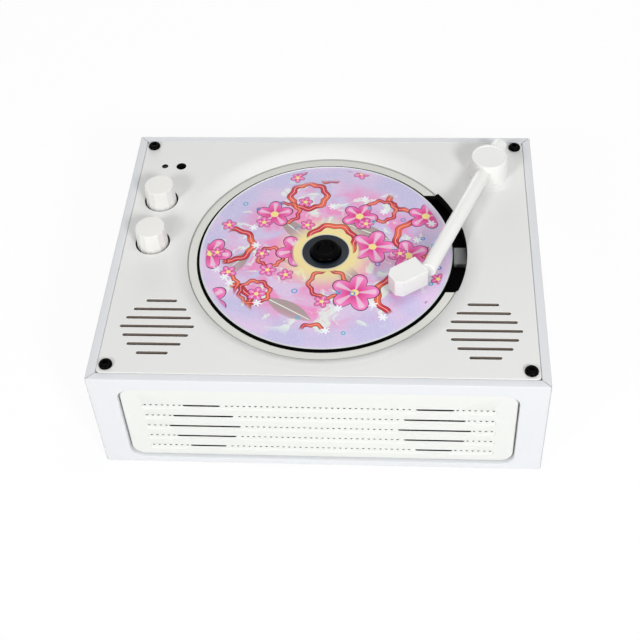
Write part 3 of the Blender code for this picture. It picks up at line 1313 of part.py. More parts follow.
def build_spindle():
    """The motor stays; the hub and the disc turn on the spindle's axis."""
    motor_top = CHASSIS_BOTTOM - GAP
    motor_bottom = motor_top - MOTOR_HEIGHT
    motor = cylinder("spindle motor", MOTOR_RADIUS, motor_bottom, motor_top, STEPS_MEDIUM, (0, SPINDLE_Y))
    spindle_low = motor_top - SPINDLE_LENGTH
    low, high = spindle_low - GAP, motor_top + OVERRUN
    cut(motor, cylinder("motor bore", SPINDLE_RADIUS + GAP, low, high, STEPS_TINY, (0, SPINDLE_Y)))
    finish(motor, "spindle_motor", "steel")

    spindle = axis("spindle_axis", (0, SPINDLE_Y, DISC_TOP))
    flange_top = -DISC_THICKNESS - GAP
    flange_bottom = flange_top - HUB_FLANGE_THICKNESS
    neck_bottom = CHASSIS_TOP + GAP - DISC_TOP
    cone = DISC_HOLE_RADIUS - GAP
    hub = turned(
        "hub",
        [(0, HUB_TOP - HUB_DISH_DEPTH), (HUB_DISH_RADIUS - HUB_DISH_DEPTH / 2, HUB_TOP - HUB_DISH_DEPTH),
         (HUB_DISH_RADIUS, HUB_TOP), (cone - HUB_CHAMFER, HUB_TOP), (cone, HUB_TOP - 2 * HUB_CHAMFER),
         (cone, flange_top), (HUB_FLANGE_RADIUS, flange_top), (HUB_FLANGE_RADIUS, flange_bottom),
         (HUB_NECK_RADIUS, flange_bottom), (HUB_NECK_RADIUS, neck_bottom), (SPINDLE_RADIUS, neck_bottom),
         (SPINDLE_RADIUS, spindle_low - DISC_TOP), (0, spindle_low - DISC_TOP)],
        STEPS_LARGE,
    )
    turns = [2 * math.pi * (i + 0.5) / CATCH_COUNT for i in range(CATCH_COUNT)]
    ring = [(CATCH_RING_RADIUS * math.cos(a), CATCH_RING_RADIUS * math.sin(a)) for a in turns]
    catches = gathered("catches", [
        sphere("catch", CATCH_RADIUS, (x, y, CATCH_RADIUS / 2), STEPS_TINY) for x, y in ring
    ])
    catches.parent = spindle
    join(hub, catches)
    finish(hub, "turntable_hub", "gloss black", spindle)

    disc = turned(
        "disc",
        [(DISC_HOLE_RADIUS, 0), (DISC_RADIUS, 0), (DISC_RADIUS, -DISC_THICKNESS),
         (DISC_HOLE_RADIUS, -DISC_THICKNESS)],
        STEPS_DISC, ring=True,
    )
    finish(disc, "compact_disc", "disc", spindle)


def build_sled():
    """The sled is drawn round its lens, which sits at x = y = 0, with z in the player's frame."""
    sled = axis("sled_axis", (LENS_START, SPINDLE_Y, 0))
    half = SLED_LENGTH / 2
    front = FRONT_ROD_Y - SLED_MARGIN - SPINDLE_Y
    back = SLED_BACK - SPINDLE_Y
    block = box("sled", (-half, front, SLED_BOTTOM), (half, back, SLED_TOP))
    tower_top = LENS_TOP - LENS_RADIUS / 2
    size = TOWER_SIZE / 2
    tower = box("lens tower", (-size, -size, SLED_TOP - OVERLAP), (size, size, tower_top))
    rack = rack_bar()
    for tool in (tower, rack):
        tool.parent = sled
    join(block, tower, rack)
    reach = half + OVERRUN
    bores = [
        rod("sled bore", ROD_RADIUS + GAP, (-reach, y, ROD_Z), (reach, y, ROD_Z), STEPS_TINY)
        for y in (FRONT_ROD_Y - SPINDLE_Y, BACK_ROD_Y - SPINDLE_Y)
    ]
    low, high = tower_top - LENS_RADIUS, tower_top + OVERRUN
    seat = cylinder("lens seat", LENS_RADIUS + GAP, low, high, STEPS_SMALL)
    tools = gathered("sled bores", bores + [seat])
    tools.parent = sled
    cut(block, tools)
    finish(block, "pickup_sled", "black plastic", sled)

    floor = tower_top - LENS_RADIUS + GAP
    dome = LENS_TOP - tower_top
    lens = turned(
        "lens",
        [(0, LENS_TOP), (LENS_RADIUS / 2, LENS_TOP - dome / 4), (LENS_RADIUS, tower_top),
         (LENS_RADIUS, floor), (0, floor)],
        STEPS_SMALL,
    )
    finish(lens, "objective_lens", "lens glass", sled)


def rack_bar():
    """A toothed bar along the sled's back edge. One tooth is level with the gear's middle."""
    root = RACK_PITCH_Y - DEDENDUM - SPINDLE_Y
    tip = RACK_PITCH_Y + ADDENDUM - SPINDLE_Y
    inner = SLED_BACK - OVERLAP - SPINDLE_Y
    middle = GEAR_X - LENS_START
    teeth = range(-RACK_TEETH_BEFORE, RACK_TEETH_AFTER + 1)
    wide, narrow = TOOTH_ROOT_SHARE * TOOTH_PITCH, TOOTH_TIP_SHARE * TOOTH_PITCH
    left = middle + (teeth[0] - 0.5) * TOOTH_PITCH
    right = middle + (teeth[-1] + 0.5) * TOOTH_PITCH
    points = [(left, inner), (left, root)]
    for tooth in teeth:
        x = middle + tooth * TOOTH_PITCH
        points += [(x - wide, root), (x - narrow, tip), (x + narrow, tip), (x + wide, root)]
    points += [(right, root), (right, inner)]
    low = SLED_BOTTOM + RACK_RAISE
    return prism("rack", [points], low, low + RACK_HEIGHT)


def build_drive():
    """The small wheel of the gear meshes the rack, and its large wheel meshes the motor's pinion below."""
    gear = axis("gear_axis", (GEAR_X, GEAR_Y, 0))
    wheel = prism("gear", [gear_outline(LARGE_TEETH, PINION_ANGLE)], LARGE_GEAR_BOTTOM, LARGE_GEAR_TOP)
    rack_top = gear_top()
    gap_down = -math.pi / 2 + math.pi / SMALL_TEETH
    small = prism("small gear", [gear_outline(SMALL_TEETH, gap_down)], LARGE_GEAR_TOP - OVERLAP, rack_top)
    small.parent = gear
    low, high = LARGE_GEAR_BOTTOM - OVERRUN, rack_top + OVERRUN
    bore = cylinder("gear bore", PIN_RADIUS + GAP, low, high, STEPS_TINY)
    bore.parent = gear
    join(wheel, small)
    cut(wheel, bore)
    finish(wheel, "drive_gear", "nylon", gear)

    head_top = LARGE_GEAR_BOTTOM - GAP
    pin = turned(
        "gear pin",
        [(0, CHASSIS_TOP), (PIN_RADIUS, CHASSIS_TOP), (PIN_RADIUS, head_top), (PIN_HEAD_RADIUS, head_top),
         (PIN_HEAD_RADIUS, head_top - PIN_HEAD_THICKNESS), (0, head_top - PIN_HEAD_THICKNESS)],
        STEPS_SMALL,
    )
    finish(pin, "gear_pin", "steel", location=(GEAR_X, GEAR_Y, 0))

    distance = LARGE_PITCH_RADIUS + PINION_PITCH_RADIUS
    x = GEAR_X + distance * math.cos(PINION_ANGLE)
    y = GEAR_Y + distance * math.sin(PINION_ANGLE)
    pinion = axis("pinion_axis", (x, y, 0))
    gap_back = PINION_ANGLE + math.pi + math.pi / PINION_TEETH
    motor_bottom = CHASSIS_BOTTOM - GAP - SLED_MOTOR_HEIGHT
    shaft_top = motor_bottom + SLED_MOTOR_HEIGHT / 2
    wheel = prism("pinion", [gear_outline(PINION_TEETH, gap_back)], LARGE_GEAR_BOTTOM, LARGE_GEAR_TOP)
    shaft = cylinder("pinion shaft", PINION_SHAFT_RADIUS, LARGE_GEAR_TOP - OVERLAP, shaft_top, STEPS_TINY)
    shaft.parent = pinion
    join(wheel, shaft)
    finish(wheel, "motor_pinion", "nylon", pinion)
    motor_top = CHASSIS_BOTTOM - GAP
    motor = cylinder("sled motor", SLED_MOTOR_RADIUS, motor_bottom, motor_top, STEPS_MEDIUM, (x, y))
    low, high = motor_bottom - OVERRUN, shaft_top + GAP
    cut(motor, cylinder("pinion bore", PINION_SHAFT_RADIUS + GAP, low, high, STEPS_TINY, (x, y)))
    finish(motor, "sled_motor", "steel")


def board_middle():
    return BOARD_MIDDLE_X, BOARD_BACK - BOARD_DEPTH / 2


def board_peg_places():
    middle_x, middle_y = board_middle()
    half_x = BOARD_WIDTH / 2 - BOARD_PEG_INSET
    half_y = BOARD_DEPTH / 2 - BOARD_PEG_INSET
    return [(middle_x + dx, middle_y + dy) for dx, dy in corner_places(half_x, half_y)]


def build_main_board():
    middle_x, middle_y = board_middle()
    board = box(
        "main board",
        (middle_x - BOARD_WIDTH / 2, BOARD_BACK - BOARD_DEPTH, BOARD_BOTTOM),
        (middle_x + BOARD_WIDTH / 2, BOARD_BACK, BOARD_TOP),
    )
    low = BOARD_TOP - OVERLAP

    def spot(shares):
        return middle_x + shares[0] * BOARD_WIDTH, middle_y + shares[1] * BOARD_DEPTH

    parts = []
    top = BOARD_TOP + SOCKET_STRIP_HEIGHT
    for shares in CHIP_PLACE_SHARES:
        x, y = spot(shares)
        half = CHIP_SIZE / 2
        parts.append(box("chip", (x - half, y - half, low), (x + half, y + half, BOARD_TOP + CHIP_HEIGHT)))
    for shares in CAPACITOR_PLACE_SHARES:
        parts.append(cylinder(
            "capacitor", CAPACITOR_RADIUS, low, BOARD_TOP + CAPACITOR_HEIGHT, STEPS_SMALL, spot(shares)
        ))
    for shares in STRIP_PLACE_SHARES:
        x, y = spot(shares)
        half_x, half_y = SOCKET_STRIP_LENGTH / 2, SOCKET_STRIP_WIDTH / 2
        parts.append(box("socket strip", (x - half_x, y - half_y, low), (x + half_x, y + half_y, top)))
    join(board, gathered("board parts", parts))
    low, high = BOARD_BOTTOM - OVERRUN, BOARD_TOP + OVERRUN
    holes = [
        cylinder("board hole", PEG_RADIUS + GAP, low, high, STEPS_TINY, place)
        for place in board_peg_places()
    ]
    cut(board, gathered("main board holes", holes))
    finish(board, "main_board", "board green")


def build_battery():
    half = BATTERY_LENGTH / 2
    cell = turned(
        "cell",
        [(0, half), (BATTERY_NUB_RADIUS, half), (BATTERY_NUB_RADIUS, half - BATTERY_NUB),
         (BATTERY_RADIUS, half - BATTERY_NUB), (BATTERY_RADIUS, -half), (0, -half)],
        STEPS_MEDIUM,
    )
    lay = Matrix.Translation((0, BATTERY_Y, BATTERY_Z)) @ Matrix.Rotation(math.pi / 2, 4, "Y")
    finish(transformed(cell, lay), "battery", "cell wrap")


def build_charge_socket():
    """It stands on the main board and shows through the back wall, as the power switch does."""
    face = HALF_DEPTH - GAP
    sheets = 2 * CHARGE_SHEET
    outer = slot_outline((CHARGE_X, charge_z()), CHARGE_WIDTH, CHARGE_HEIGHT)
    inner = slot_outline((CHARGE_X, charge_z()), CHARGE_WIDTH - sheets, CHARGE_HEIGHT - sheets)
    back_turn = Matrix.Rotation(math.pi / 2, 4, "X")
    shell = transformed(prism("charge shell", [outer], -face, CHARGE_DEPTH - face), back_turn)
    hollow = transformed(
        prism("charge hollow", [inner], -face - OVERRUN, CHARGE_DEPTH - face - CHARGE_TONGUE), back_turn
    )
    cut(shell, hollow)
    half_x = CHARGE_WIDTH / 2 - CHARGE_HEIGHT / 2
    tongue = box(
        "charge tongue",
        (CHARGE_X - half_x, face - CHARGE_DEPTH + CHARGE_TONGUE - OVERLAP, charge_z() - CHARGE_TONGUE / 2),
        (CHARGE_X + half_x, face - CHARGE_TONGUE, charge_z() + CHARGE_TONGUE / 2),
    )
    join(shell, tongue)
    finish(shell, "charge_socket", "steel")


def build_power_switch():
    low = BOARD_TOP + GAP
    front = INNER_HALF_DEPTH - GAP - SWITCH_DEPTH
    back = INNER_HALF_DEPTH - GAP
    body = box(
        "switch",
        (SWITCH_X - SWITCH_WIDTH / 2, front, low), (SWITCH_X + SWITCH_WIDTH / 2, back, low + SWITCH_HEIGHT),
    )
    z = switch_z()
    travel = (SLIDER_WIDTH + SLIDER_TRAVEL) / 2 + GAP
    half_z = SLIDER_HEIGHT / 2 + GAP
    mouth = box(
        "switch mouth", (SWITCH_X - travel, back - 2 * SLIDER_PLATE, z - half_z),
        (SWITCH_X + travel, back + OVERRUN, z + half_z),
    )
    wide = travel + SLIDER_PLATE
    room = box(
        "slider room", (SWITCH_X - wide, back - 3 * SLIDER_PLATE - 2 * GAP, z - half_z - SLIDER_PLATE / 2),
        (SWITCH_X + wide, back - 2 * SLIDER_PLATE + GAP, z + half_z + SLIDER_PLATE / 2),
    )
    cut(body, mouth, room)
    finish(body, "power_switch", "black plastic")

    slider = axis("slider_axis", (SWITCH_X - SLIDER_TRAVEL / 2, 0, z))
    plate_back = back - 2 * SLIDER_PLATE
    plate_front = plate_back - SLIDER_PLATE
    stem = box(
        "slider",
        (-SLIDER_WIDTH / 2, plate_front, -SLIDER_HEIGHT / 2),
        (SLIDER_WIDTH / 2, HALF_DEPTH - SLIDER_SINK, SLIDER_HEIGHT / 2),
    )
    keep = box(
        "slider plate",
        (-SLIDER_WIDTH / 2 - SLIDER_PLATE / 2, plate_front, -SLIDER_HEIGHT / 2 - SLIDER_PLATE / 2),
        (SLIDER_WIDTH / 2 + SLIDER_PLATE / 2, plate_back, SLIDER_HEIGHT / 2 + SLIDER_PLATE / 2),
    )
    keep.parent = slider
    join(stem, keep)
    finish(stem, "power_slider", "gloss black", slider)


build_walls()
build_deck()
build_bottom()
build_screws()
build_grille()
build_speakers()
build_volume_control()
build_mode_control()
build_control_board()
build_tonearm()
build_chassis()
build_mechanism_fixings()
build_spindle()
build_sled()
build_drive()
build_main_board()
build_battery()
build_charge_socket()
build_power_switch()
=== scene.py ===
import math

import bmesh
import bpy
import numpy as np
from mathutils import Matrix, Vector
from mathutils.geometry import delaunay_2d_cdt


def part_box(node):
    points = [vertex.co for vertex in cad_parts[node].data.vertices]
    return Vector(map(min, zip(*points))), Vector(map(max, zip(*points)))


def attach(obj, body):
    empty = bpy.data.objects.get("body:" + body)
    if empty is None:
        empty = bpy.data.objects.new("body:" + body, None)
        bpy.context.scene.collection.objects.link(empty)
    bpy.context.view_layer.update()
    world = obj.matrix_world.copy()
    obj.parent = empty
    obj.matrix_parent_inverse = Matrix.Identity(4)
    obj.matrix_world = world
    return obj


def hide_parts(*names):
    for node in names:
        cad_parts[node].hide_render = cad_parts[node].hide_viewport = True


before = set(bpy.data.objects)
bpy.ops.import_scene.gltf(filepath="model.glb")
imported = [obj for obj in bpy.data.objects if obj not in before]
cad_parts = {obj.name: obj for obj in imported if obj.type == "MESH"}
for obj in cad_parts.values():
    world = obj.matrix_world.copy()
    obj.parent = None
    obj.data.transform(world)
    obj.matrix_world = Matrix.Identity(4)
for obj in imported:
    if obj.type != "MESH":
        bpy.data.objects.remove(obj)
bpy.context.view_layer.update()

mm = 0.001
turn = 2 * math.pi
corners = [(f"{depth}_{side}", sx, sy) for depth, sy in (("front", -1), ("back", 1))
           for side, sx in (("left", -1), ("right", 1))]


# Sizes that several pieces share, in millimetres; heights count from the ground
case = {
    "halfWidth": 100.0,
    "halfDepth": 80.0,
    "wall": 4.0,
    "top": 62.0,
    "seam": 0.3,  # open joint between two walls
    "spindle": (0.0, 2.0),
    "pivot": (78.1, 52.4),  # of the tonearm
    "screwInset": 8.2,
    "screwBore": 1.6,
}


def boxOf(node):
    # lowest and highest corner of a node of the frame, in millimetres
    low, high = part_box(node)
    return np.array(low) / mm, np.array(high) / mm


def newObject(name, data):
    made = bpy.data.objects.new(name, data)
    bpy.context.scene.collection.objects.link(made)
    return made


def screwSpot(sx, sy):
    # the case's corner, less the inset on both axes
    inset = case["screwInset"]
    return sx * (case["halfWidth"] - inset), sy * (case["halfDepth"] - inset)


# Curves in a plane, as arrays of points
def ringPoints(centre, radius, count, start=0.0, end=turn, closed=True):
    # a circle or an arc: centre plus radius times (cosine, sine) of evenly spaced angles
    angles = np.linspace(start, end, count, endpoint=not closed)
    return np.stack([centre[0] + radius * np.cos(angles), centre[1] + radius * np.sin(angles)], axis=1)


def roundedRectangle(low, high, radius, steps=10):
    # four quarter circles joined by straight sides; with a radius of nought and no steps its corners are sharp
    arcs = []
    for sx, sy, start in ((1, -1, -0.25), (1, 1, 0.0), (-1, 1, 0.25), (-1, -1, 0.5)):
        x = high[0] - radius if sx > 0 else low[0] + radius
        y = high[1] - radius if sy > 0 else low[1] + radius
        arcs.append(ringPoints((x, y), radius, steps + 1, start * turn, (start + 0.25) * turn, False))
    return np.concatenate(arcs)


def capsule(centre, length, width, steps=8):
    # a straight slot along X with round ends: a half circle at each end of its middle line
    reach = (length - width) / 2
    return np.concatenate([
        ringPoints((centre[0] + side * reach, centre[1]), width / 2, steps + 1, start * turn,
                   (start + 0.5) * turn, False)
        for side, start in ((1, -0.25), (-1, 0.25))
    ])


def mitres(loop):
    # at each point of a closed loop that runs with its solid on the left: the way out, lengthened at corners
    leastJoint = 0.3  # keeps the way out of a sharp corner short
    ahead = np.roll(loop, -1, axis=0) - loop
    ahead /= np.linalg.norm(ahead, axis=1, keepdims=True)
    normal = np.stack([ahead[:, 1], -ahead[:, 0]], axis=1)
    before = np.roll(normal, 1, axis=0)
    joint = 1 + np.sum(normal * before, axis=1, keepdims=True)
    return (normal + before) / np.maximum(joint, leastJoint)


def inside(points, loop):
    # even and odd crossings of a ray to the right
    x, y = points[:, 0][:, None], points[:, 1][:, None]
    x1, y1 = loop[:, 0][None], loop[:, 1][None]
    x2, y2 = np.roll(loop[:, 0], -1)[None], np.roll(loop[:, 1], -1)[None]
    straddles = (y1 > y) != (y2 > y)
    with np.errstate(divide="ignore", invalid="ignore"):
        cross = (x2 - x1) * (y - y1) / (y2 - y1) + x1
    return np.sum(straddles & (x < cross), axis=1) % 2 == 1


def rounded(profile, radii, steps=5):
    # a line whose corners are replaced by arcs: each arc's points turn from one tangent point to the other
    # round the middle of the circle that touches both sides
    profile = np.array(profile, dtype=float)
    share = np.linspace(0, 1, steps + 1)[:, None]
    parts = [profile[:1]]
    for before, corner, after, radius in zip(profile, profile[1:], profile[2:], radii[1:]):
        if radius <= 0:
            parts.append([corner])
            continue
        back = (before - corner) / np.linalg.norm(before - corner)
        ahead = (after - corner) / np.linalg.norm(after - corner)
        half = math.acos(float(np.clip(back @ ahead, -1, 1))) / 2
        middle = corner + (back + ahead) / np.linalg.norm(back + ahead) * radius / math.sin(half)
        first, last = (corner + way * radius / math.tan(half) - middle for way in (back, ahead))
        sweep = math.pi - 2 * half
        parts.append(middle + (np.sin((1 - share) * sweep) * first + np.sin(share * sweep) * last) / math.sin(sweep))
    return np.concatenate([*parts, profile[-1:]])


def softened(points, radius, steps=4):
    # a closed outline with each corner replaced by an arc
    points = np.array(points, dtype=float)
    start = (points[0] + points[-1]) / 2
    return rounded([start, *points, start], [0] + [radius] * len(points) + [0], steps)[:-1]


# Meshes, gathered from grids and flat sheets
class Form:
    def __init__(self):
        self.points = []
        self.faces = []  # blocks of faces, each an array of the numbers of its points
        # the looks after 0 are painted shade on hole walls and floors
        self.looks = []  # for each face, 0 for the piece's own finish and 1 or more for the others
        self.count = 0

    def add(self, points, faces, look=0):
        self.points.append(np.array(points, dtype=float).reshape(-1, 3))
        self.faces.append(np.asarray(faces) + self.count)
        self.looks += [look] * len(faces)
        self.count += len(self.points[-1])
        return self

    def grid(self, points, closed=False, look=0):
        # a surface of two parameters: quads between neighbouring rows and columns of points
        rows, columns = points.shape[:2]
        index = np.arange(rows * columns).reshape(rows, columns)
        if closed:
            index = np.concatenate([index, index[:, :1]], axis=1)
        a, b = index[:-1, :-1].ravel(), index[:-1, 1:].ravel()
        c, d = index[1:, 1:].ravel(), index[1:, :-1].ravel()
        return self.add(points, np.stack([a, b, c, d], axis=1), look)

    def join(self, other):
        # a second closed shell in the same piece
        self.points += other.points
        self.faces += [block + self.count for block in other.faces]
        self.looks += other.looks
        self.count += other.count

    def placed(self, matrix):
        # rotation and shift of everything gathered so far
        self.points = [p @ matrix[:3, :3].T + matrix[:3, 3] for p in self.points]
        return self

    def piece(self, name, body, node, *looks, sharp=32, weld=0.002):
        # merges doubles, turns the faces outward, gives the finishes and hangs the piece on its body
        mesh = bpy.data.meshes.new(name)
        faces = [face for block in self.faces for face in block.tolist()]
        mesh.from_pydata((np.concatenate(self.points) * mm).tolist(), [], faces)
        mesh.polygons.foreach_set("material_index", self.looks)
        shape = bmesh.new()
        shape.from_mesh(mesh)
        bmesh.ops.remove_doubles(shape, verts=shape.verts, dist=weld * mm)
        bmesh.ops.dissolve_degenerate(shape, edges=shape.edges, dist=weld * mm)
        bmesh.ops.recalc_face_normals(shape, faces=shape.faces)
        shape.to_mesh(mesh)
        shape.free()
        mesh.shade_smooth()
        mesh.set_sharp_from_angle(angle=math.radians(sharp))
        for look in looks:
            mesh.materials.append(finishes[look])
        made = newObject(name, mesh)
        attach(made, body)
        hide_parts(node)


def turnedForm(profile, steps=96, centre=(0.0, 0.0), facets=0, share=0.0):
    # a profile of radii and heights turned about Z: (radius cos, radius sin, height); a row whose share is
    # above nought has that much of a polygon's outline in place of its circle
    profile = np.array(profile, dtype=float)
    angles = np.linspace(0, turn, steps, endpoint=False)
    factor = np.zeros(steps)
    if facets:
        step = turn / facets
        factor = math.cos(step / 2) / np.cos(np.mod(angles, step) - step / 2) - 1
    share = np.broadcast_to(share, len(profile))
    radius = profile[:, :1] * (1 + share[:, None] * factor)
    x = centre[0] + radius * np.cos(angles)
    y = centre[1] + radius * np.sin(angles)
    return Form().grid(np.stack([x, y, np.broadcast_to(profile[:, 1:], x.shape)], axis=2), closed=True)


def rimChains(faces):
    # the open edges of a sheet, followed round into closed loops with the sheet on their left
    directed = np.concatenate([faces[:, [0, 1]], faces[:, [1, 2]], faces[:, [2, 0]]])
    known = set(map(tuple, directed.tolist()))
    follow = {a: b for a, b in known if (b, a) not in known}
    chains = []
    while follow:
        start = next(iter(follow))
        chain, spot = [start], follow.pop(start)
        while spot != start:
            chain.append(spot)
            spot = follow.pop(spot)
        chains.append(np.array(chain))
    return chains


def nearestLoop(loop, loops):
    # the one that most of the chain's points lie on
    near = 0.001
    gaps = [np.min(np.linalg.norm(other[:, None] - loop[None], axis=2), axis=0) for other in loops]
    return int(np.argmax([np.sum(gap < near) for gap in gaps]))


def pierced(outline, holes, upper, lower, rims, rings=(), support=0.2, walls=()):
    # a sheet between two heights that vary over the plane, with rounded edges all round it and round each hole; an
    # edge whose rim is nought stays sharp; the holes' walls may take painted shade of their own
    arcs = np.linspace(0, math.pi / 2, 5)
    loops = [loop - (rim + support if rim else 0.0) * mitres(loop)
             for loop, rim in zip([outline] + [hole[::-1] for hole in holes], rims)]
    edges, start = [], 0
    for loop in loops + list(rings):
        edges += [(start + i, start + (i + 1) % len(loop)) for i in range(len(loop))]
        start += len(loop)
    flat = [Vector(p) for p in np.concatenate(loops + list(rings))]
    verts, _, faces, _, _, _ = delaunay_2d_cdt(flat, edges, [], 0, 1e-5)
    verts, faces = np.array([tuple(v) for v in verts]), np.array([tuple(f) for f in faces])
    middles = verts[faces].mean(axis=1)
    keep = inside(middles, loops[0])
    for loop in loops[1:]:
        keep &= ~inside(middles, loop)
    faces = faces[keep]
    a, b, c = verts[faces[:, 0]], verts[faces[:, 1]], verts[faces[:, 2]]
    area = (b[:, 0] - a[:, 0]) * (c[:, 1] - a[:, 1]) - (b[:, 1] - a[:, 1]) * (c[:, 0] - a[:, 0])
    faces = np.where((area < 0)[:, None], faces[:, ::-1], faces)
    faces = faces[np.abs(area) > 1e-9]
    form = Form().add(np.column_stack([verts, upper(verts)]), faces)
    form.add(np.column_stack([verts, lower(verts)]), faces[:, ::-1])
    for chain in rimChains(faces):
        loop = verts[chain]
        which = nearestLoop(loop, loops)
        rim = rims[which]
        steps = [(support + rim * math.sin(t), rim * (1 - math.cos(t))) for t in arcs] if rim else []
        edge = [(loop + out * mitres(loop), drop) for out, drop in [(0.0, 0.0), *steps]]
        rows = [np.column_stack([spot, upper(spot) - drop]) for spot, drop in edge]
        rows += [np.column_stack([spot, lower(spot) + drop]) for spot, drop in edge[::-1]]
        form.grid(np.array(rows[:len(edge)]), closed=True)
        form.grid(np.array(rows[len(edge) - 1:]), closed=True, look=walls[which - 1] if walls and which else 0)
    return form


def roundedBlock(low, high, radius, steps=3):
    # six grids on a box: each point is moved to the round edge's radius from the nearest point of the core
    middle, half = (low + high) / 2, (high - low) / 2
    bend = radius * np.tan(np.linspace(0, math.pi / 4, steps + 1))
    form = Form()
    for axis in range(3):
        across = [a for a in range(3) if a != axis]
        u, v = (np.concatenate([radius - half[a] - bend[::-1], half[a] - radius + bend]) for a in across)
        for side in (-1, 1):
            grid = np.zeros((len(u), len(v), 3))
            grid[:, :, across[0]] = u[:, None]
            grid[:, :, across[1]] = v[None]
            grid[:, :, axis] = side * half[axis]
            core = np.clip(grid, radius - half, half - radius)
            way = grid - core
            way /= np.linalg.norm(way, axis=2, keepdims=True)
            form.grid(core + radius * way + middle)
    return form


def level(height):
    return lambda points: np.full(len(points), float(height))


def turning(angle, x=0.0, y=0.0, z=0.0):
    # a turn about Z, then a shift
    c, s = math.cos(angle), math.sin(angle)
    return np.array([[c, -s, 0, x], [s, c, 0, y], [0, 0, 1, z], [0, 0, 0, 1]])


def facing(form, side):
    # stands a sheet that was drawn flat upright: its Y becomes height, and its upper face looks to that side
    upright = np.array([[1, 0, 0, 0], [0, 0, -1, 0], [0, 1, 0, 0], [0, 0, 0, 1]])
    quarters = ("front", "right", "back", "left").index(side)
    return form.placed(turning(quarters * turn / 4) @ upright)


# Shader maths
class Signal:
    # a number that varies over a surface; each operation adds its Math node
    def __init__(self, tree, socket):
        self.tree = tree
        self.socket = socket

    def __add__(self, other):
        return self.tree.maths("ADD", self, other)

    def __sub__(self, other):
        return self.tree.maths("SUBTRACT", self, other)

    def __rsub__(self, other):
        return self.tree.maths("SUBTRACT", other, self)

    def __mul__(self, other):
        return self.tree.maths("MULTIPLY", self, other)

    __radd__ = __add__
    __rmul__ = __mul__


class NodeTree:
    # nodes and links of one tree; any node comes from one method
    def __init__(self, tree):
        self.nodes = tree.nodes
        self.links = tree.links

    def node(self, kind, settings=None, **sockets):
        # a socket goes by its name, or by an i and its number
        made = self.nodes.new(kind)
        for key, value in (settings or {}).items():
            setattr(made, key, value)
        for key, value in sockets.items():
            self.join(made.inputs[int(key[1:]) if key[1:].isdigit() else key.replace("_", " ")], value)
        return made

    def join(self, socket, value):
        value = value.socket if isinstance(value, Signal) else value
        if isinstance(value, bpy.types.NodeSocket):
            self.links.new(value, socket)
        else:
            socket.default_value = value

    def signals(self, kind, settings=None, **sockets):
        return [Signal(self, output) for output in self.node(kind, settings, **sockets).outputs[:3]]

    def maths(self, operation, *values):
        sockets = {f"i{k}": value for k, value in enumerate(values)}
        return self.signals("ShaderNodeMath", {"operation": operation}, **sockets)[0]

    def noise(self, scale, detail=2.0, rough=0.5, place=None, twist=0.0):
        return self.signals("ShaderNodeTexNoise", None, Vector=place or self.place, Scale=scale, Detail=detail,
                            Roughness=rough, Distortion=twist)[0]

    def band(self, value, start, end):
        # smooth step of a value from start to end
        return self.signals("ShaderNodeMapRange", {"interpolation_type": "SMOOTHSTEP"}, Value=value,
                            From_Min=start, From_Max=end)[0]

    def mapped(self, vector, scale=(1, 1, 1), shift=(0, 0, 0)):
        return self.node("ShaderNodeMapping", None, Vector=vector, Scale=scale, Location=shift).outputs[0]

    def blend(self, factor, first, second):
        # the first colour where the factor is 0, the second where it is 1
        first, second = ((*c, 1) if isinstance(c, tuple) else c for c in (first, second))
        return self.node("ShaderNodeMix", {"data_type": "RGBA"}, i0=factor, i6=first, i7=second).outputs[2]


class Bench(NodeTree):
    # a material being made: its nodes, its shader and its coordinates
    def __init__(self, name, colour, roughness, metallic=0.0, coat=0.0, gloss=0.5):
        self.material = bpy.data.materials.new(name)
        self.material.use_nodes = True
        super().__init__(self.material.node_tree)
        self.shader = self.nodes["Principled BSDF"]
        constants = {"Base Color": (*colour, 1), "Roughness": roughness, "Metallic": metallic,
                     "Coat Weight": coat, "Specular IOR Level": gloss}
        for name, value in constants.items():
            self.set(name, value)
        self.material.diffuse_color = (*colour, 1)
        self.place = self.node("ShaderNodeTexCoord").outputs["Object"]

    def set(self, name, value):
        self.join(self.shader.inputs[name], value)

    def sheen(self, roughness, *swings):
        # roughness that swings round its mean: each signal times its width, less half of all the widths
        value = roughness - sum(width for _, width in swings) / 2
        for signal, width in swings:
            value = signal * width + value
        self.set("Roughness", value)

    def bump(self, height, strength, distance):
        made = self.node("ShaderNodeBump", None, Strength=strength, Distance=distance, Height=height)
        self.set("Normal", made.outputs[0])

    def centred(self):
        # the spindle's axis becomes the origin, in millimetres
        x, y = case["spindle"]
        return self.mapped(self.place, (1 / mm, 1 / mm, 1 / mm), (-x, -y, 0))

    def distance(self, x, y):
        return self.maths("SQRT", x * x + y * y)


def mouldedPlastic(name, colour, roughness, grain, shift=0.02, coat=0.0, gloss=0.5, shadeRings=()):
    # moulded plastic: a fine spark-eroded grain, with slow drifts in tone and in sheen; each ring of painted shade
    # goes round the spindle, given by its inner and outer radius, the width of its soft edge and its darker colour
    bench = Bench(name, colour, roughness, coat=coat, gloss=gloss)
    drift, fine = bench.noise(35.0, 3.0), bench.noise(2600.0, 2.0, 0.6)
    tone = bench.blend(drift, *(tuple(c * (1 + way * shift) for c in colour) for way in (-1, 1)))
    if shadeRings:
        radius = bench.distance(*bench.signals("ShaderNodeSeparateXYZ", None, i0=bench.centred())[:2])
    # painted shade: each ring darkens the tone round the spindle
    for start, end, soft, ring in shadeRings:
        share = bench.band(radius, start - soft, start) * bench.band(radius, end + soft, end)
        tone = bench.blend(share, tone, ring)
    bench.set("Base Color", tone)
    bench.sheen(roughness, (drift, 0.06), (fine, 0.08))
    bench.bump(fine, grain, 0.00006)
    return bench.material


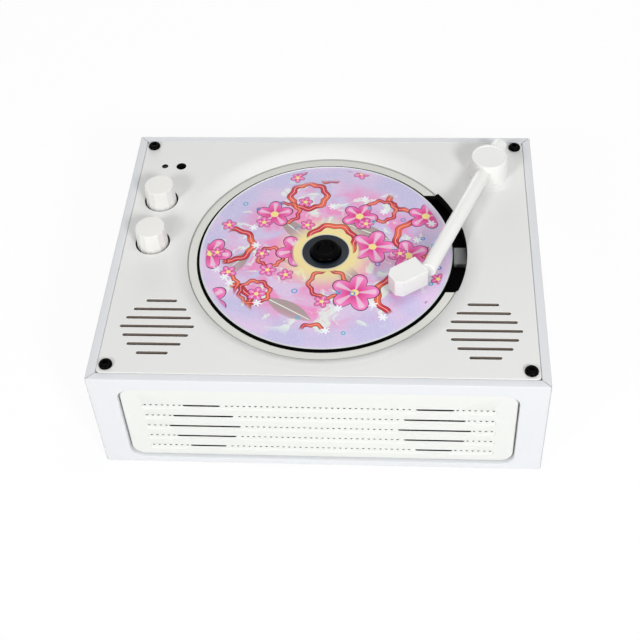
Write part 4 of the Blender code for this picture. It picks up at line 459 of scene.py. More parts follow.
def brushedSteel(name, colour, roughness):
    # drawn metal: noise stretched along one way, in the sheen and in the surface
    bench = Bench(name, colour, roughness, metallic=1.0)
    streak = bench.noise(1.0, 3.0, 0.6, bench.mapped(bench.place, (3000.0, 3000.0, 120.0)))
    bench.sheen(roughness, (streak, 0.16))
    bench.set("Base Color", bench.blend(bench.noise(60.0), tuple(c * 0.92 for c in colour), colour))
    bench.bump(streak, 0.12, 0.00003)
    return bench.material


def circuitBoard(name, colour):
    # solder mask over faint tracks: a brick pattern of thin lines raised a little
    bench = Bench(name, colour, 0.4, coat=0.3)
    tracks = bench.node("ShaderNodeTexBrick", {"offset": 0.37}, Vector=bench.place, Scale=420.0,
                        Mortar_Size=0.035, Brick_Width=1.9, Row_Height=0.7)
    lines = Signal(bench, tracks.outputs["Fac"])
    bench.set("Base Color", bench.blend(lines, colour, tuple(c * 1.7 + 0.01 for c in colour)))
    bench.bump(lines, 0.2, 0.00003)
    return bench.material


def paintedFerrite(name, colour, roughness):
    # coarse sintered grain
    bench = Bench(name, colour, roughness, metallic=0.2)
    grain = bench.noise(1400.0, 4.0, 0.7)
    bench.set("Base Color", bench.blend(grain, tuple(c * 0.6 for c in colour), tuple(c * 1.5 for c in colour)))
    bench.sheen(roughness, (grain, 0.2))
    bench.bump(grain, 0.3, 0.00008)
    return bench.material


def tint(red, green, blue):
    # screen values from 0 to 255 as the light values that a shader takes
    values = np.array((red, green, blue)) / 255
    return tuple(float(v) for v in np.where(values <= 0.04045, values / 12.92, ((values + 0.055) / 1.055) ** 2.4))


# The disc's print: scattered blossoms, rings, leaves and drops on a lilac ground. Lengths are in millimetres.
# Cells are a layer's size, shift and scatter; shown is where its own number starts and ends to let a motif
# through; each pair of reach is a radius where the layer is gone and one where it is full.
printLook = {
    "coat": 0.35,
    "gloss": 0.3,
    "roughness": 0.32,
    "rings": (11.1, 11.6, 58.9),  # edge of the clear middle, start and end of the print
    "soft": 0.1,  # half the width of their edges
    "darkLine": (0.5, 0.9),  # inside the clear middle's edge
    # painted shade: the disc's edge near black all round, the line of shade round the disc
    "edgeLine": (59.72, 59.86),
    "rimMetal": 0.5,
    "clear": tint(10, 22, 34),
    "dark": tint(2, 4, 6),
    "paleRing": tint(196, 198, 194),
    "rim": tint(205, 208, 212),
    "ground": tint(190, 184, 222),
    "mint": tint(226, 238, 226),
    "peach": tint(242, 222, 140),
    "white": tint(236, 240, 244),
    "ink": tint(38, 14, 26),
    "clouds": (  # noise, twist, shift, where it rises, reach, strength, tone
        ((0.035, 2.0), 0.0, (0, 0, 0), (0.38, 0.62), (), 1.0, tint(216, 190, 224)),
        ((2.2, 2.0, 0.8), 0.0, (0, 0, 0), (0.40, 0.66), (), 0.34, tint(234, 228, 242)),
        ((0.06, 3.0), 0.6, (0, 0, 0), (0.40, 0.58), ((13.0, 24.0), (52.0, 38.0)), 0.85, tint(236, 130, 188)),
        ((0.09, 3.0, 0.6), 1.2, (40, 17, 0), (0.56, 0.64), ((56.0, 48.0),), 0.85, tint(226, 238, 226)),
    ),
    "middle": ((27.0, 12.0), 0.9),  # where the peach middle fades in, and how strong it is
    "leaves": {
        "cells": (34.0, 61.0, 0.6), "shown": (0.40, 0.42), "reach": ((13.0, 24.0), (52.0, 38.0)),
        "width": 4.4, "taper": 0.026, "soft": 0.25, "tone": tint(168, 148, 148),
        "vein": (0.1, (0.25, 0.1), (0.6, 0.9)),  # place, half width, distance from the leaf's edge
    },
    "waves": [{
        "cells": (size, shift, 0.45), "shown": (0.34, 0.36), "reach": ((12.5, 14.0), (50.0, 47.0)), "wide": wide,
        "radius": (0.20, 0.12), "count": 8, "swell": 0.55, "soft": 0.15, "ink": (0.3, 0.1),
        "tones": (tint(196, 30, 44), tint(226, 96, 54)), "change": (3, (-0.4, 0.4)),
        "light": ((0.16, 0.08), tint(246, 170, 180)),
    } for size, shift, wide in ((40.0, 13.0, 1.5), (27.0, 87.0, 0.95))],
    "blossoms": [{
        "cells": (size, shift, 0.55), "shown": (shown, shown + 0.01), "reach": ((15.0, 17.0), (57.5, 56.0)),
        "petals": 5, "share": share, "spread": (0.85, 0.3), "notch": (0.58, 0.42), "ink": (ink, 0.2), "soft": 0.15,
        "core": 0.02, "tones": (tint(214, 34, 130), tint(240, 120, 190)), "eye": (0.055, 0.2),
        "veins": ((0.86, 0.97), (0.8, 1.6), 0.5),  # round the petal, in from its edge, strength
    } for size, shift, share, ink, shown in ((33.0, 29.0, 0.30, 0.55, 0.45), (17.0, 53.0, 0.22, 0.32, 0.62))],
    "stars": {
        "cells": (13.0, 71.0, 0.9), "shown": (0.80, 0.81), "reach": ((57.0, 55.5), (14.0, 16.0)),
        "radius": 1.7, "points": 6, "swell": 0.35, "soft": (-0.1, 0.15),
    },
    "drops": {
        "cells": (10.0, 7.0, 0.9), "shown": (0.74, 0.75), "reach": ((57.5, 56.5), (20.0, 22.0)),
        "radius": (0.7, 0.6), "line": (0.36, 0.2), "tones": (tint(44, 110, 205), tint(80, 190, 205)),
    },
}


class PrintBench(Bench):
    # the material of the print: layers painted over one another round the spindle
    def __init__(self, look):
        super().__init__("discPrint", look["ground"], look["roughness"], coat=look["coat"], gloss=look["gloss"])
        self.flat = self.centred()
        self.radius = self.distance(*self.signals("ShaderNodeSeparateXYZ", None, i0=self.flat)[:2])
        self.colour = look["ground"]

    def paint(self, mask, colour):
        self.colour = self.blend(mask, self.colour, colour)

    def within(self, mask, reach):
        for gone, full in reach:
            mask = mask * self.band(self.radius, gone, full)
        return mask

    def scattered(self, layer):
        # one motif in each cell: distance and direction from its middle, its own three numbers, and its mask
        size, shift, scatter = layer["cells"]
        at = self.mapped(self.flat, shift=(shift, 0.37 * shift, 0))
        cells = self.node("ShaderNodeTexVoronoi", {"voronoi_dimensions": "2D", "feature": "F1"}, Vector=at,
                          Scale=1 / size, Randomness=scatter)
        way = self.node("ShaderNodeVectorMath", {"operation": "SUBTRACT"}, i0=at, i1=cells.outputs["Position"])
        across, up, _ = self.signals("ShaderNodeSeparateXYZ", None, i0=way.outputs[0])
        own = self.signals("ShaderNodeSeparateColor", None, i0=cells.outputs["Color"])
        angle = self.maths("ARCTAN2", up, across) + own[0] * turn
        mask = self.within(self.band(own[2], *layer["shown"]), layer["reach"])
        return self.distance(across, up), angle, own, mask

    def sine(self, angle):
        return self.maths("SINE", angle)

    def cosine(self, angle):
        return self.maths("COSINE", angle)

    def size(self, value):
        return self.maths("ABSOLUTE", value)


def discPrint(look):
    bench = PrintBench(look)
    band, paint = bench.band, bench.paint
    for noise, twist, shift, rise, reach, strength, tone in look["clouds"]:
        mask = band(bench.noise(*noise, place=bench.mapped(bench.flat, shift=shift), twist=twist), *rise)
        paint(bench.within(mask, reach) * strength, tone)
    reach, strength = look["middle"]
    paint(band(bench.radius, *reach) * strength, look["peach"])

    # long leaves: half the width shrinks with the square of the way along; a pale vein on one side
    layer = look["leaves"]
    away, angle, _, mask = bench.scattered(layer)
    along, across = away * bench.cosine(angle), bench.size(away * bench.sine(angle))
    edge = layer["width"] - along * along * layer["taper"] - across
    aside, half, within = layer["vein"]
    paint(band(edge, 0.0, layer["soft"]) * mask, layer["tone"])
    paint(band(bench.size(across - aside), *half) * band(edge, *within) * mask, look["mint"])

    # wavy rings with a fine dark edge and a light line: the radius swings with a multiple of the direction
    for layer in look["waves"]:
        away, angle, own, mask = bench.scattered(layer)
        (least, more), wide, (count, change) = layer["radius"], layer["wide"], layer["change"]
        middle = (own[1] * more + least) * layer["cells"][0]
        near = bench.size(away - middle - bench.sine(angle * layer["count"]) * layer["swell"])
        (start, end), light = layer["light"]
        paint(band(near, *(wide + ink for ink in layer["ink"])) * mask, look["ink"])
        tone = bench.blend(band(bench.sine(angle * count), *change), *layer["tones"])
        paint(band(near, wide, wide - layer["soft"]) * mask, tone)
        paint(band(near, start * wide, end * wide) * mask, light)

    # blossoms: the edge's distance swings with the number of petals times the direction
    for layer in look["blossoms"]:
        away, angle, own, mask = bench.scattered(layer)
        size, (least, more), (deep, shallow) = layer["cells"][0], layer["spread"], layer["notch"]
        reach, (ink, soft), (eye, fade) = layer["share"] * size, layer["ink"], layer["eye"]
        swing = bench.size(bench.cosine(angle * (layer["petals"] / 2)))
        edge = (own[1] * more + least) * reach * (swing * shallow + deep) - away
        around, inward, strength = layer["veins"]
        paint(band(edge, -ink, soft - ink) * mask, look["ink"])
        petal = bench.blend(band(away, layer["core"] * size, reach), *layer["tones"])
        paint(band(edge, 0.0, layer["soft"]) * mask, petal)
        paint(band(swing, *around) * band(edge, *inward) * mask * strength, look["white"])
        paint(band(away, eye * size + fade, eye * size) * mask, look["peach"])

    # small pale stars, and rings like drops in blue and teal
    layer = look["stars"]
    away, angle, _, mask = bench.scattered(layer)
    edge = (bench.cosine(angle * layer["points"]) * layer["swell"] + 1.0) * layer["radius"] - away
    paint(band(edge, *layer["soft"]) * mask, look["white"])
    layer = look["drops"]
    away, _, own, mask = bench.scattered(layer)
    least, more = layer["radius"]
    near = bench.size(away - (own[1] * more + least))
    paint(band(near, *layer["line"]) * mask, bench.blend(own[0], *layer["tones"]))

    # clear middle, pale ring and bare rim
    clear, start, end = look["rings"]
    soft = look["soft"]
    first, last = look["darkLine"]
    bare = band(bench.radius, end - soft, end + soft)
    paint(band(bench.radius, start + soft, start - soft), look["paleRing"])
    paint(band(bench.radius, clear + soft, clear - soft), look["dark"])
    paint(band(bench.radius, clear - first, clear - last), look["clear"])
    paint(bare, look["rim"])
    # painted shade on the disc's edge
    paint(band(bench.radius, *look["edgeLine"]), look["dark"])
    bench.set("Base Color", bench.colour)
    bench.set("Metallic", bare * look["rimMetal"])
    bench.set("Coat Weight", band(bench.radius, clear, start) * look["coat"])
    bench.sheen(look["roughness"], (bench.noise(0.5, 2.0, place=bench.flat), 0.08))
    bench.bump(bench.noise(5.0, 2.0, place=bench.flat), 0.05, 0.00002)
    return bench.material


# Plastics: name, colour, roughness, depth of the grain, drift of the tone
finishes = {
    "deck": mouldedPlastic("deckWhite", (0.755, 0.76, 0.745), 0.42, 0.10, 0.012, shadeRings=(
        # painted shade: the sunken ledge as a darker cream ring, where the well shades it
        (61.0, 64.9, 0.2, (0.66, 0.665, 0.62)),  # the ledge
        # painted shade: the groove at the foot of the slope as a dark grey line
        (65.1, 65.6, 0.15, (0.42, 0.42, 0.40)),  # the groove at the foot of the slope
    )),
    "wall": mouldedPlastic("wallWhite", (0.695, 0.71, 0.73), 0.46, 0.10, 0.012),
    "grille": mouldedPlastic("grilleWhite", (0.725, 0.735, 0.71), 0.48, 0.14, 0.012),
    "arm": mouldedPlastic("armWhite", (0.835, 0.835, 0.815), 0.34, 0.06, 0.01),
    "knob": mouldedPlastic("knobIvory", (0.825, 0.82, 0.795), 0.36, 0.06, 0.01),
    # painted shade: near black on the walls inside holes, the window, the slits and the tub's floor
    "shade": mouldedPlastic("holeWallPaintedShade", (0.006, 0.006, 0.0058), 0.7, 0.2, 0.2, gloss=0.06),
    # painted shade: taupe on the walls inside the deck's slots, darker than the deck
    "slot": mouldedPlastic("slotWallPaintedShade", (0.22, 0.175, 0.15), 0.7, 0.2, 0.1, gloss=0.2),
    "black": mouldedPlastic("blackPlastic", (0.0025, 0.0025, 0.003), 0.6, 0.3, 0.2, gloss=0.03),
    "gloss": mouldedPlastic("glossBlack", (0.0008, 0.0008, 0.0012), 0.16, 0.01, 0.2, gloss=0.03),
    "grey": mouldedPlastic("greyPlastic", (0.27, 0.29, 0.28), 0.5, 0.2, 0.05),
    "screw": mouldedPlastic("screwBlack", (0.001, 0.001, 0.0012), 0.22, 0.1, 0.2, gloss=0.03),
    "disc": discPrint(printLook),
    "rubber": mouldedPlastic("footRubber", (0.03, 0.03, 0.031), 0.8, 0.5, 0.25),
    "nylon": mouldedPlastic("gearNylon", (0.72, 0.71, 0.64), 0.45, 0.1, 0.03),
    "paper": mouldedPlastic("conePulp", (0.02, 0.02, 0.02), 0.85, 0.8, 0.4, gloss=0.2),
    "lamp": mouldedPlastic("lampSmoke", (0.012, 0.013, 0.014), 0.25, 0.02, 0.2, gloss=0.3),
    "blackSteel": brushedSteel("blackSteel", (0.03, 0.03, 0.032), 0.36),
    "steel": brushedSteel("brightSteel", (0.62, 0.62, 0.63), 0.28),
    "board": circuitBoard("solderMask", (0.01, 0.11, 0.045)),
    "ferrite": paintedFerrite("magnetFerrite", (0.06, 0.06, 0.065), 0.7),
    "wrap": mouldedPlastic("cellWrap", (0.07, 0.17, 0.36), 0.35, 0.05, 0.06, coat=0.3),
    "lens": mouldedPlastic("lensCoating", (0.10, 0.14, 0.36), 0.06, 0.01, 0.2, coat=1.0),
}
print("finishes made:", len(finishes))


# Case walls: mitred panels round the deck, with the posts that the screws go through
wallLook = {
    "edge": 0.45,  # rounding of the outer edges
    "openingEdge": 0.36,
    "mitre": 2.0,  # points nearer than this to a panel's end belong to its mitre
    "opening": ((-87.5, 5.0), (87.5, 55.0), 6.5),
    "charge": ((0.0, 12.35), 9.6, 3.9),  # middle, width, height
    "switch": ((40.0, 14.2), 8.6, 3.8, 0.4),  # and the radius of its corners
    "post": (11.5, 62.4, 73.9, 11.9, 59.2),  # reach from the wall, near and far end, low, high
    "postCorner": 0.8,
    "postEdge": 0.3,
    "postSink": 0.2,  # how far it runs into the wall
    "boreEdge": 0.2,
}


def wallPanel(node, side, halfLength, halfDepth, holes=()):
    # a flat outline with its openings, drawn in length and height, thickened to its depth and stood upright
    low, high = boxOf(node)
    end = halfLength - case["seam"] / math.sqrt(2)
    outline = roundedRectangle((-end, low[2]), (end, high[2]), 0, 0)
    rims = [wallLook["edge"]] + [wallLook["openingEdge"]] * len(holes)
    form = pierced(outline, holes, level(0), level(-case["wall"]), rims)
    for points in form.points:
        far = np.abs(points[:, 0]) > end - wallLook["mitre"]  # shorter with depth, to meet on a diagonal
        points[far, 0] += np.sign(points[far, 0]) * points[far, 2]
        points[:, 2] += halfDepth
    return facing(form, side)


def makeWalls():
    look = wallLook
    opening = roundedRectangle(*look["opening"], 12)
    form = wallPanel("front_wall", "front", case["halfWidth"], case["halfDepth"], [opening])
    form.piece("front_panel", "case", "front_wall", "wall")
    (x, z), width, height = look["charge"]
    charge = capsule((-x, z), width, height)
    (x, z), width, height, corner = look["switch"]
    low, high = (-x - width / 2, z - height / 2), (-x + width / 2, z + height / 2)
    switch = roundedRectangle(low, high, corner, 3)
    form = wallPanel("back_wall", "back", case["halfWidth"], case["halfDepth"], [charge, switch])
    form.piece("back_panel", "case", "back_wall", "wall")
    reach, near, far, low, high = look["post"]
    inner = case["halfWidth"] - case["wall"]
    for side, sx in (("left", -1), ("right", 1)):
        form = wallPanel(f"{side}_wall", side, case["halfDepth"], case["halfWidth"])
        for sy in (-1, 1):
            xs, ys = sorted((sx * (inner + look["postSink"]), sx * (inner - reach))), sorted((sy * near, sy * far))
            block = roundedRectangle((xs[0], ys[0]), (xs[1], ys[1]), look["postCorner"], 3)
            bore = ringPoints(screwSpot(sx, sy), case["screwBore"], 24)
            form.join(pierced(block, [bore], level(high), level(low), [look["postEdge"], look["boreEdge"]]))
        form.piece(f"{side}_panel", "case", f"{side}_wall", "wall")
    print("walls made")


# Top deck: a plate with the rolled well, the slots and the holes
deckLook = {
    "edge": 0.4,
    "corner": 2.2,
    "plate": 2.5,
    "closer": 0.26,  # how much further than the solid the plate reaches towards the walls
    "lip": 74.7,  # radius where the slope into the well begins
    "foot": 65.0,  # radius of the line at its foot
    "drop": 4.7,
    "lipSteepness": 0.12,
    "roll": 2.0,  # how much of the drop is near the foot
    "line": (0.05, 0.55, 0.5, 0.12),  # the groove's distance from the foot, width, depth and slope
    "pocket": 61.2,
    "pocketDrop": 6.6,
    "tubFloor": 1.6,
    "tubWall": 2.0,
    "tubFlare": 3.4,
    "window": (-36.0, -22.4, 41.8, 66.6),  # left, front, back and outer radius
    "windowEdge": 0.15,
    "knobs": ((-82.5, 32.5), (-82.5, 3.5)),
    "knobHole": (8.2, 0.3),  # radius, edge
    "holes": (((-84.3, 57.2), 1.6), ((-76.0, 57.2), 2.5), (case["pivot"], 5.8)),
    "holeEdge": 0.2,
    "screwEdge": 0.15,
    "slotCentre": (72.7, -49.1),
    "slotPitch": 5.1,
    "slotLength": 33.5,
    "slotWidth": 1.6,
    "slotShares": (0.42, 0.72, 0.88, 1.0, 0.88, 0.72, 0.42),
    "pegs": (  # radius, shoulder, tip, places
        (3.5, 51.5, 46.0, ((-37.5, 43.3), (68.5, 43.3), (-37.5, -23.9), (68.5, -23.9))),
        (3.0, 48.9, 45.8, ((-82.5, 46.35), (-82.5, 18.0))),
    ),
    "pegEnd": (1.1, 0.8, 0.3),  # radius under the shoulder, at the tip, and height between
    "pegTop": 54.0,  # where a peg under the well ends
    "pegSink": 0.2,  # how far any other runs into the plate
}


def fromSpindle(points):
    return np.hypot(points[:, 0] - case["spindle"][0], points[:, 1] - case["spindle"][1])


def wellHeight(points):
    # level beyond the lip, then a drop that grows with a power of the way in, a thin groove and a level ledge
    look = deckLook
    radius = fromSpindle(points)
    share = np.clip((look["lip"] - radius) / (look["lip"] - look["foot"]), 0, 1)
    start, width, depth, slope = look["line"]
    middle = look["foot"] + width / 2 + start
    groove = np.clip((width / 2 - np.abs(radius - middle)) / slope, 0, 1) * depth
    fall = look["lipSteepness"] * share + (1 - look["lipSteepness"]) * share ** look["roll"]
    return case["top"] - look["drop"] * fall - groove


def tubHeight(points):
    # the underside: the plate's lower face, flaring down to the tub's floor under the well
    look = deckLook
    outer = look["foot"] + look["tubWall"] + look["tubFlare"]
    share = np.clip((outer - fromSpindle(points)) / look["tubFlare"], 0, 1)
    plate = case["top"] - look["plate"]
    floor = case["top"] - look["pocketDrop"] - look["tubFloor"]
    return plate + (floor - plate) * share


def roundSpindle(radius, steps, low, high, beyond=0.0):
    # the arc between the angles at which a circle's right half crosses the lines y = low and y = high
    start, end = (math.asin((y - case["spindle"][1]) / radius) for y in (low, high))
    return ringPoints(case["spindle"], radius + beyond, steps, start, end if end > start else end + turn, False)


def makeDeck():
    look = deckLook
    low, high = boxOf("top_deck")
    outline = roundedRectangle(low[:2] - look["closer"], high[:2] + look["closer"], look["corner"], 8)
    left, front, back, outer = look["window"]
    pocket, window = roundSpindle(look["pocket"], 150, back, front), roundSpindle(outer, 60, front, back)
    # the last number picks the wall's painted shade: 1 near black, 2 taupe
    openings = [(np.concatenate([pocket, window]), look["windowEdge"], 1)]  # loop, edge, finish of its wall
    radius, edge = look["knobHole"]
    openings += [(ringPoints(spot, radius, 72), edge, 1) for spot in look["knobs"]]
    openings += [(ringPoints(spot, radius, 40), look["holeEdge"], 1) for spot, radius in look["holes"]]
    for sx in (-1, 1):
        for sy in (-1, 1):
            openings.append((ringPoints(screwSpot(sx, sy), case["screwBore"], 24), look["screwEdge"], 1))
        for row, share in enumerate(look["slotShares"]):
            x, y = sx * look["slotCentre"][0], look["slotCentre"][1] + (row - 3) * look["slotPitch"]
            slot = capsule((x, y), share * look["slotLength"], look["slotWidth"])
            openings.append((slot, look["holeEdge"], 2))
    holes, rims, walls = zip(*openings)
    tub, beside = look["foot"] + look["tubWall"], 0.3
    start, width, _, slope = look["line"]
    start += look["foot"]
    line = [start, start + slope, start + width - slope, start + width]
    radii = [*np.linspace(look["lip"], line[-1] + beside, 14), *line, look["lip"] + beside, tub,
             tub + look["tubFlare"]]
    rings = [ringPoints(case["spindle"], radius, 240) for radius in radii]
    form = pierced(outline, holes, wellHeight, tubHeight, [look["edge"], *rims], rings, walls=walls)
    floorTop = case["top"] - look["pocketDrop"]
    arc = roundSpindle(look["pocket"], 150, back, front, 0.1)
    edge = np.concatenate([arc, [(left, front), (left, back)]])
    floor = pierced(edge, [], level(floorTop), level(floorTop - look["tubFloor"]), [look["holeEdge"]])
    # painted shade: the tub's floor near black, for the dark line round the disc
    floor.looks = [1] * len(floor.looks)
    form.join(floor)
    thin, tipRadius, chamfer = look["pegEnd"]
    for radius, shoulder, tip, spots in look["pegs"]:
        for spot in spots:
            under = fromSpindle(np.array([spot]))[0] + radius < look["foot"]
            top = look["pegTop"] if under else case["top"] - look["plate"] + look["pegSink"]
            profile = [(0, top), (radius, top), (radius, shoulder), (thin, shoulder), (thin, tip + chamfer),
                       (tipRadius, tip), (0, tip)]
            form.join(turnedForm(profile, 28, spot))
    form.piece("deck_skin", "case", "top_deck", "deck", "shade", "slot")
    print("deck made")


# Front grille: five shallow grooves, each with two long slits and a row of small ones
grilleLook = {
    "gap": 0.5,
    "face": 78.5,
    "back": 74.2,
    "edge": 0.9,
    "slitEdge": 0.05,
    "flange": (-88.7, 4.0, 88.7, 57.5, 75.7),  # low and high corner, and its front
    "flangeWindow": (4.0, 6.0, 3.0),  # in from the sides and bottom, down from the top, corner
    "flangeEdge": 0.2,
    "rows": (11.5, 19.0, 26.5, 34.0, 41.5),
    "grooveLength": 157.0,
    "grooveWidth": 3.5,
    "sink": 0.62,
    "wall": 0.62,  # width of a groove's sloping side
    "slitCentre": 51.4,
    "slitRaise": 0.8,
    "slitLength": 32.6,
    "slitWidth": 1.95,
    "slitShares": (0.515, 0.837, 1.0, 0.837, 0.515),
    "dash": (1.45, 1.3, 2.6),  # length, height, pitch
    "dashEnd": 77.0,
    "dashClear": 0.75,  # from a slit's end, in lengths of a dash
    "pegAngle": 0.663225,  # of a loudspeaker's two pegs
    "pegRing": 19.1,
    "peg": ((1.1, 0.9), (75.0, 71.9, 71.7)),  # radii, depths
}


def grooveHeight(points):
    # how far each point lies from the middle line of the nearest groove, as a smooth step down to its floor
    look = grilleLook
    reach = (look["grooveLength"] - look["grooveWidth"]) / 2
    along = np.maximum(np.abs(points[:, 0]) - reach, 0)
    across = np.min(np.abs(points[:, 1][:, None] - np.array(look["rows"])[None]), axis=1)
    share = np.clip((look["grooveWidth"] / 2 - np.hypot(along, across)) / look["wall"], 0, 1)
    return look["face"] - look["sink"] * share ** 2 * (3 - 2 * share)


def makeGrille():
    look = grilleLook
    low, high, corner = wallLook["opening"]
    gap = look["gap"]
    outline = roundedRectangle((low[0] + gap, low[1] + gap), (high[0] - gap, high[1] - gap), corner - gap, 12)
    holes, rims, rings = [], [look["edge"]], []
    length, height, pitch = look["dash"]
    for z, share in zip(look["rows"], look["slitShares"]):
        y = z + look["slitRaise"]
        slit = share * look["slitLength"]
        holes += [capsule((side * look["slitCentre"], y), slit, look["slitWidth"], 6) for side in (-1, 1)]
        spots = np.arange(0.5, look["dashEnd"] / pitch) * pitch
        spots = spots[np.abs(spots - look["slitCentre"]) > slit / 2 + look["dashClear"] * length]
        holes += [capsule((side * x, y), length, height, 2) for x in spots for side in (-1, 1)]
        rims += [look["slitEdge"]] * 2 + [0] * 2 * len(spots)
        for part in np.linspace(0, 1, 5):
            width = look["grooveWidth"] - 2 * part * look["wall"]
            rings.append(capsule((0, z), look["grooveLength"] - look["grooveWidth"] + width, width, 10))
    # painted shade: every slit's and dash's wall takes the near-black finish
    form = pierced(outline, holes, grooveHeight, level(look["back"]), rims, rings, 0.06, [1] * len(holes))
    left, bottom, right, top, front = look["flange"]
    side, down, inner = look["flangeWindow"]
    outer = roundedRectangle((left, bottom), (right, top), corner, 8)
    window = roundedRectangle((left + side, bottom + side), (right - side, top - down), inner, 8)
    form.join(pierced(outer, [window], level(front), level(look["back"] + 0.01), [look["flangeEdge"]] * 2))
    (thick, thin), (start, bend, tip) = look["peg"]
    profile = [(0, start), (thick, start), (thick, bend), (thin, tip), (0, tip)]
    for side in (-1, 1):
        for end in (-1, 1):
            x = side * (look["slitCentre"] + end * look["pegRing"] * math.cos(look["pegAngle"]))
            z = look["rows"][2] + end * look["pegRing"] * math.sin(look["pegAngle"])
            form.join(turnedForm(profile, 20, (x, z)))
    facing(form, "front").piece("grille_plate", "case", "front_grille", "grille", "shade")
    print("grille made")


# Knobs: flat facets under a flat top
knobLook = {
    "heights": (60.5, 72.0),
    "radii": (7.5, 7.05),  # at the bottom and at the top
    "facets": 14,
    "bore": 3.3,
    "roof": 68.0,
    "edges": (0, 0.4, 0.2, 0.15, 0.3, 0),
}


def makeKnobs():
    look = knobLook
    (low, high), (wide, narrow), bore, roof = look["heights"], look["radii"], look["bore"], look["roof"]
    profile = [(0, high), (narrow, high), (wide, low), (bore, low), (bore, roof), (0, roof)]
    profile = rounded(profile, look["edges"], 6)
    share = profile[:, 0] > bore + 0.5
    knobs = (("volume_cap", "volume", "volume_knob"), ("mode_cap", "mode_turn", "mode_knob"))
    for (name, body, node), spot in zip(knobs, deckLook["knobs"]):
        form = turnedForm(profile, look["facets"] * 8, spot, look["facets"], share)
        form.piece(name, body, node, "knob", sharp=18)
    print("knobs made")


# Tonearm, drawn along X from its pivot and then turned to its place
armLook = {
    "angle": math.radians(-112.6),
    "height": 69.3,
    "tube": (3.6, -5.5, 78.5),  # radius, ends
    "neck": ((75.0, 0.0), (9.7, -7.75), 68.6, 2.5, 9.0),  # start, way, height, radius, length
    "capRadii": (8.65, 9.4),  # at the top and at the bottom
    "capHeights": (62.96, 74.0),
    "capRim": (0.95, 1.25),  # width of the rim at its top and at its foot
    "capDish": 0.28,
    "capEdges": (0, 0.35, 0.12, 0.375, 0.3, 0),
    "padRadii": (9.2, 9.9, 13.8),  # under the cap, beside it, and where it runs out
    "padHeights": (62.03, 62.42, 62.9),
    "sleeve": (5.5, 57.0, 3.3),  # radius, its lower end, bore
    "weight": (3.8, 9.7, 15.2, 2.8, 5.8),  # radius, near end, far end, spigot radius, its end
    "head": (16.2, 10.9, 9.3, 62.6),  # length, width, height, lowest
    "headMiddle": (84.7, -7.75),
    "headTurn": math.radians(-33.7),
    "headEdges": (0.45, 0.32, 0.08),  # upright edges, the others, and the strip inside them
    "noseCorner": 2.7,  # cut off the nose's two corners
}


def layAlongX(form, angle=0.0, x=0.0, y=0.0, z=armLook["height"]):
    # what was turned about Z comes to lie along X, turned by an angle in the plane
    tip = np.array([[0, 0, 1, 0], [0, 1, 0, 0], [-1, 0, 0, 0], [0, 0, 0, 1]])
    return form.placed(turning(angle, x, y, z) @ tip)


def onArm(form):
    return form.placed(turning(armLook["angle"], *case["pivot"]))


def makeTonearm():
    look = armLook
    low, side, high = look["padHeights"]
    under, beside, out = look["padRadii"]
    sleeve, sleeveEnd, bore = look["sleeve"]
    share = np.linspace(0, 1, 12)
    fall = [(beside + (out - beside) * t, low + (side - low) * (1 - t * t * (3 - 2 * t))) for t in share]
    pad = [(bore, high), (under, high), *fall, (sleeve, low), (sleeve, sleeveEnd), (bore, sleeveEnd), (bore, high)]
    turnedForm(pad, 128, case["pivot"]).piece("arm_pad", "case", "tonearm_base", "deck")

    low, high = look["capHeights"]
    (top, base), (rim, rimFoot), floor = look["capRadii"], look["capRim"], high - look["capDish"]
    cap = [(0, floor), (top - rimFoot, floor), (top - rim, high), (top, high), (base, low), (0, low)]
    cap = turnedForm(rounded(cap, look["capEdges"]), 128, case["pivot"])
    cap.piece("arm_cap", "tonearm", "tonearm_cap", "arm")

    radius, start, end = look["tube"]
    profile = rounded([(0, end), (radius, end), (radius, start), (0, start)], [0, 0.5, 0.4, 0])
    tube = layAlongX(turnedForm(profile, 64))
    (x, y), way, height, radius, length = look["neck"]
    profile = rounded([(0, length), (radius, length), (radius, 0), (0, 0)], [0, 0.2, 0.2, 0], 3)
    tube.join(layAlongX(turnedForm(profile, 40), math.atan2(way[1], way[0]), x, y, height))
    onArm(tube).piece("arm_tube", "tonearm", "tonearm_tube", "arm")

    radius, near, far, spigot, end = look["weight"]
    profile = [(0, -far), (radius, -far), (radius, -near), (spigot, -near), (spigot, -end), (0, -end)]
    weight = layAlongX(turnedForm(rounded(profile, [0, 0.45, 0.3, 0, 0.2, 0]), 64))
    onArm(weight).piece("arm_weight", "tonearm", "counterweight", "arm")

    length, width, height, bottom = look["head"]
    upright, edge, strip = look["headEdges"]
    x, y, cut = length / 2, width / 2, look["noseCorner"]
    plan = softened([(-x, -y), (x - cut, -y), (x, cut - y), (x, y - cut), (x - cut, y), (-x, y)], upright)
    head = pierced(plan, [], level(bottom + height), level(bottom), [edge], support=strip)
    head.placed(turning(look["headTurn"], *look["headMiddle"]))
    onArm(head).piece("arm_head", "tonearm", "headshell", "arm")
    print("tonearm made")


# Screws: a domed head with a hexagon socket, over a thread that is cut as rings
screwLook = {
    "radius": 3.0,
    "heights": (62.3, 63.9),
    "dome": (1.75, 0.35),  # radius of the flat on top, height of the upright side
    "shank": (1.2, 2.8),  # radius, tip
    "hex": (1.25, 0.9),  # radius of its corners, depth
    "pitch": 0.9,
    "thread": (22.0, 1.5, 0.22),  # top, end above the tip, depth
    "tip": 0.5,
}


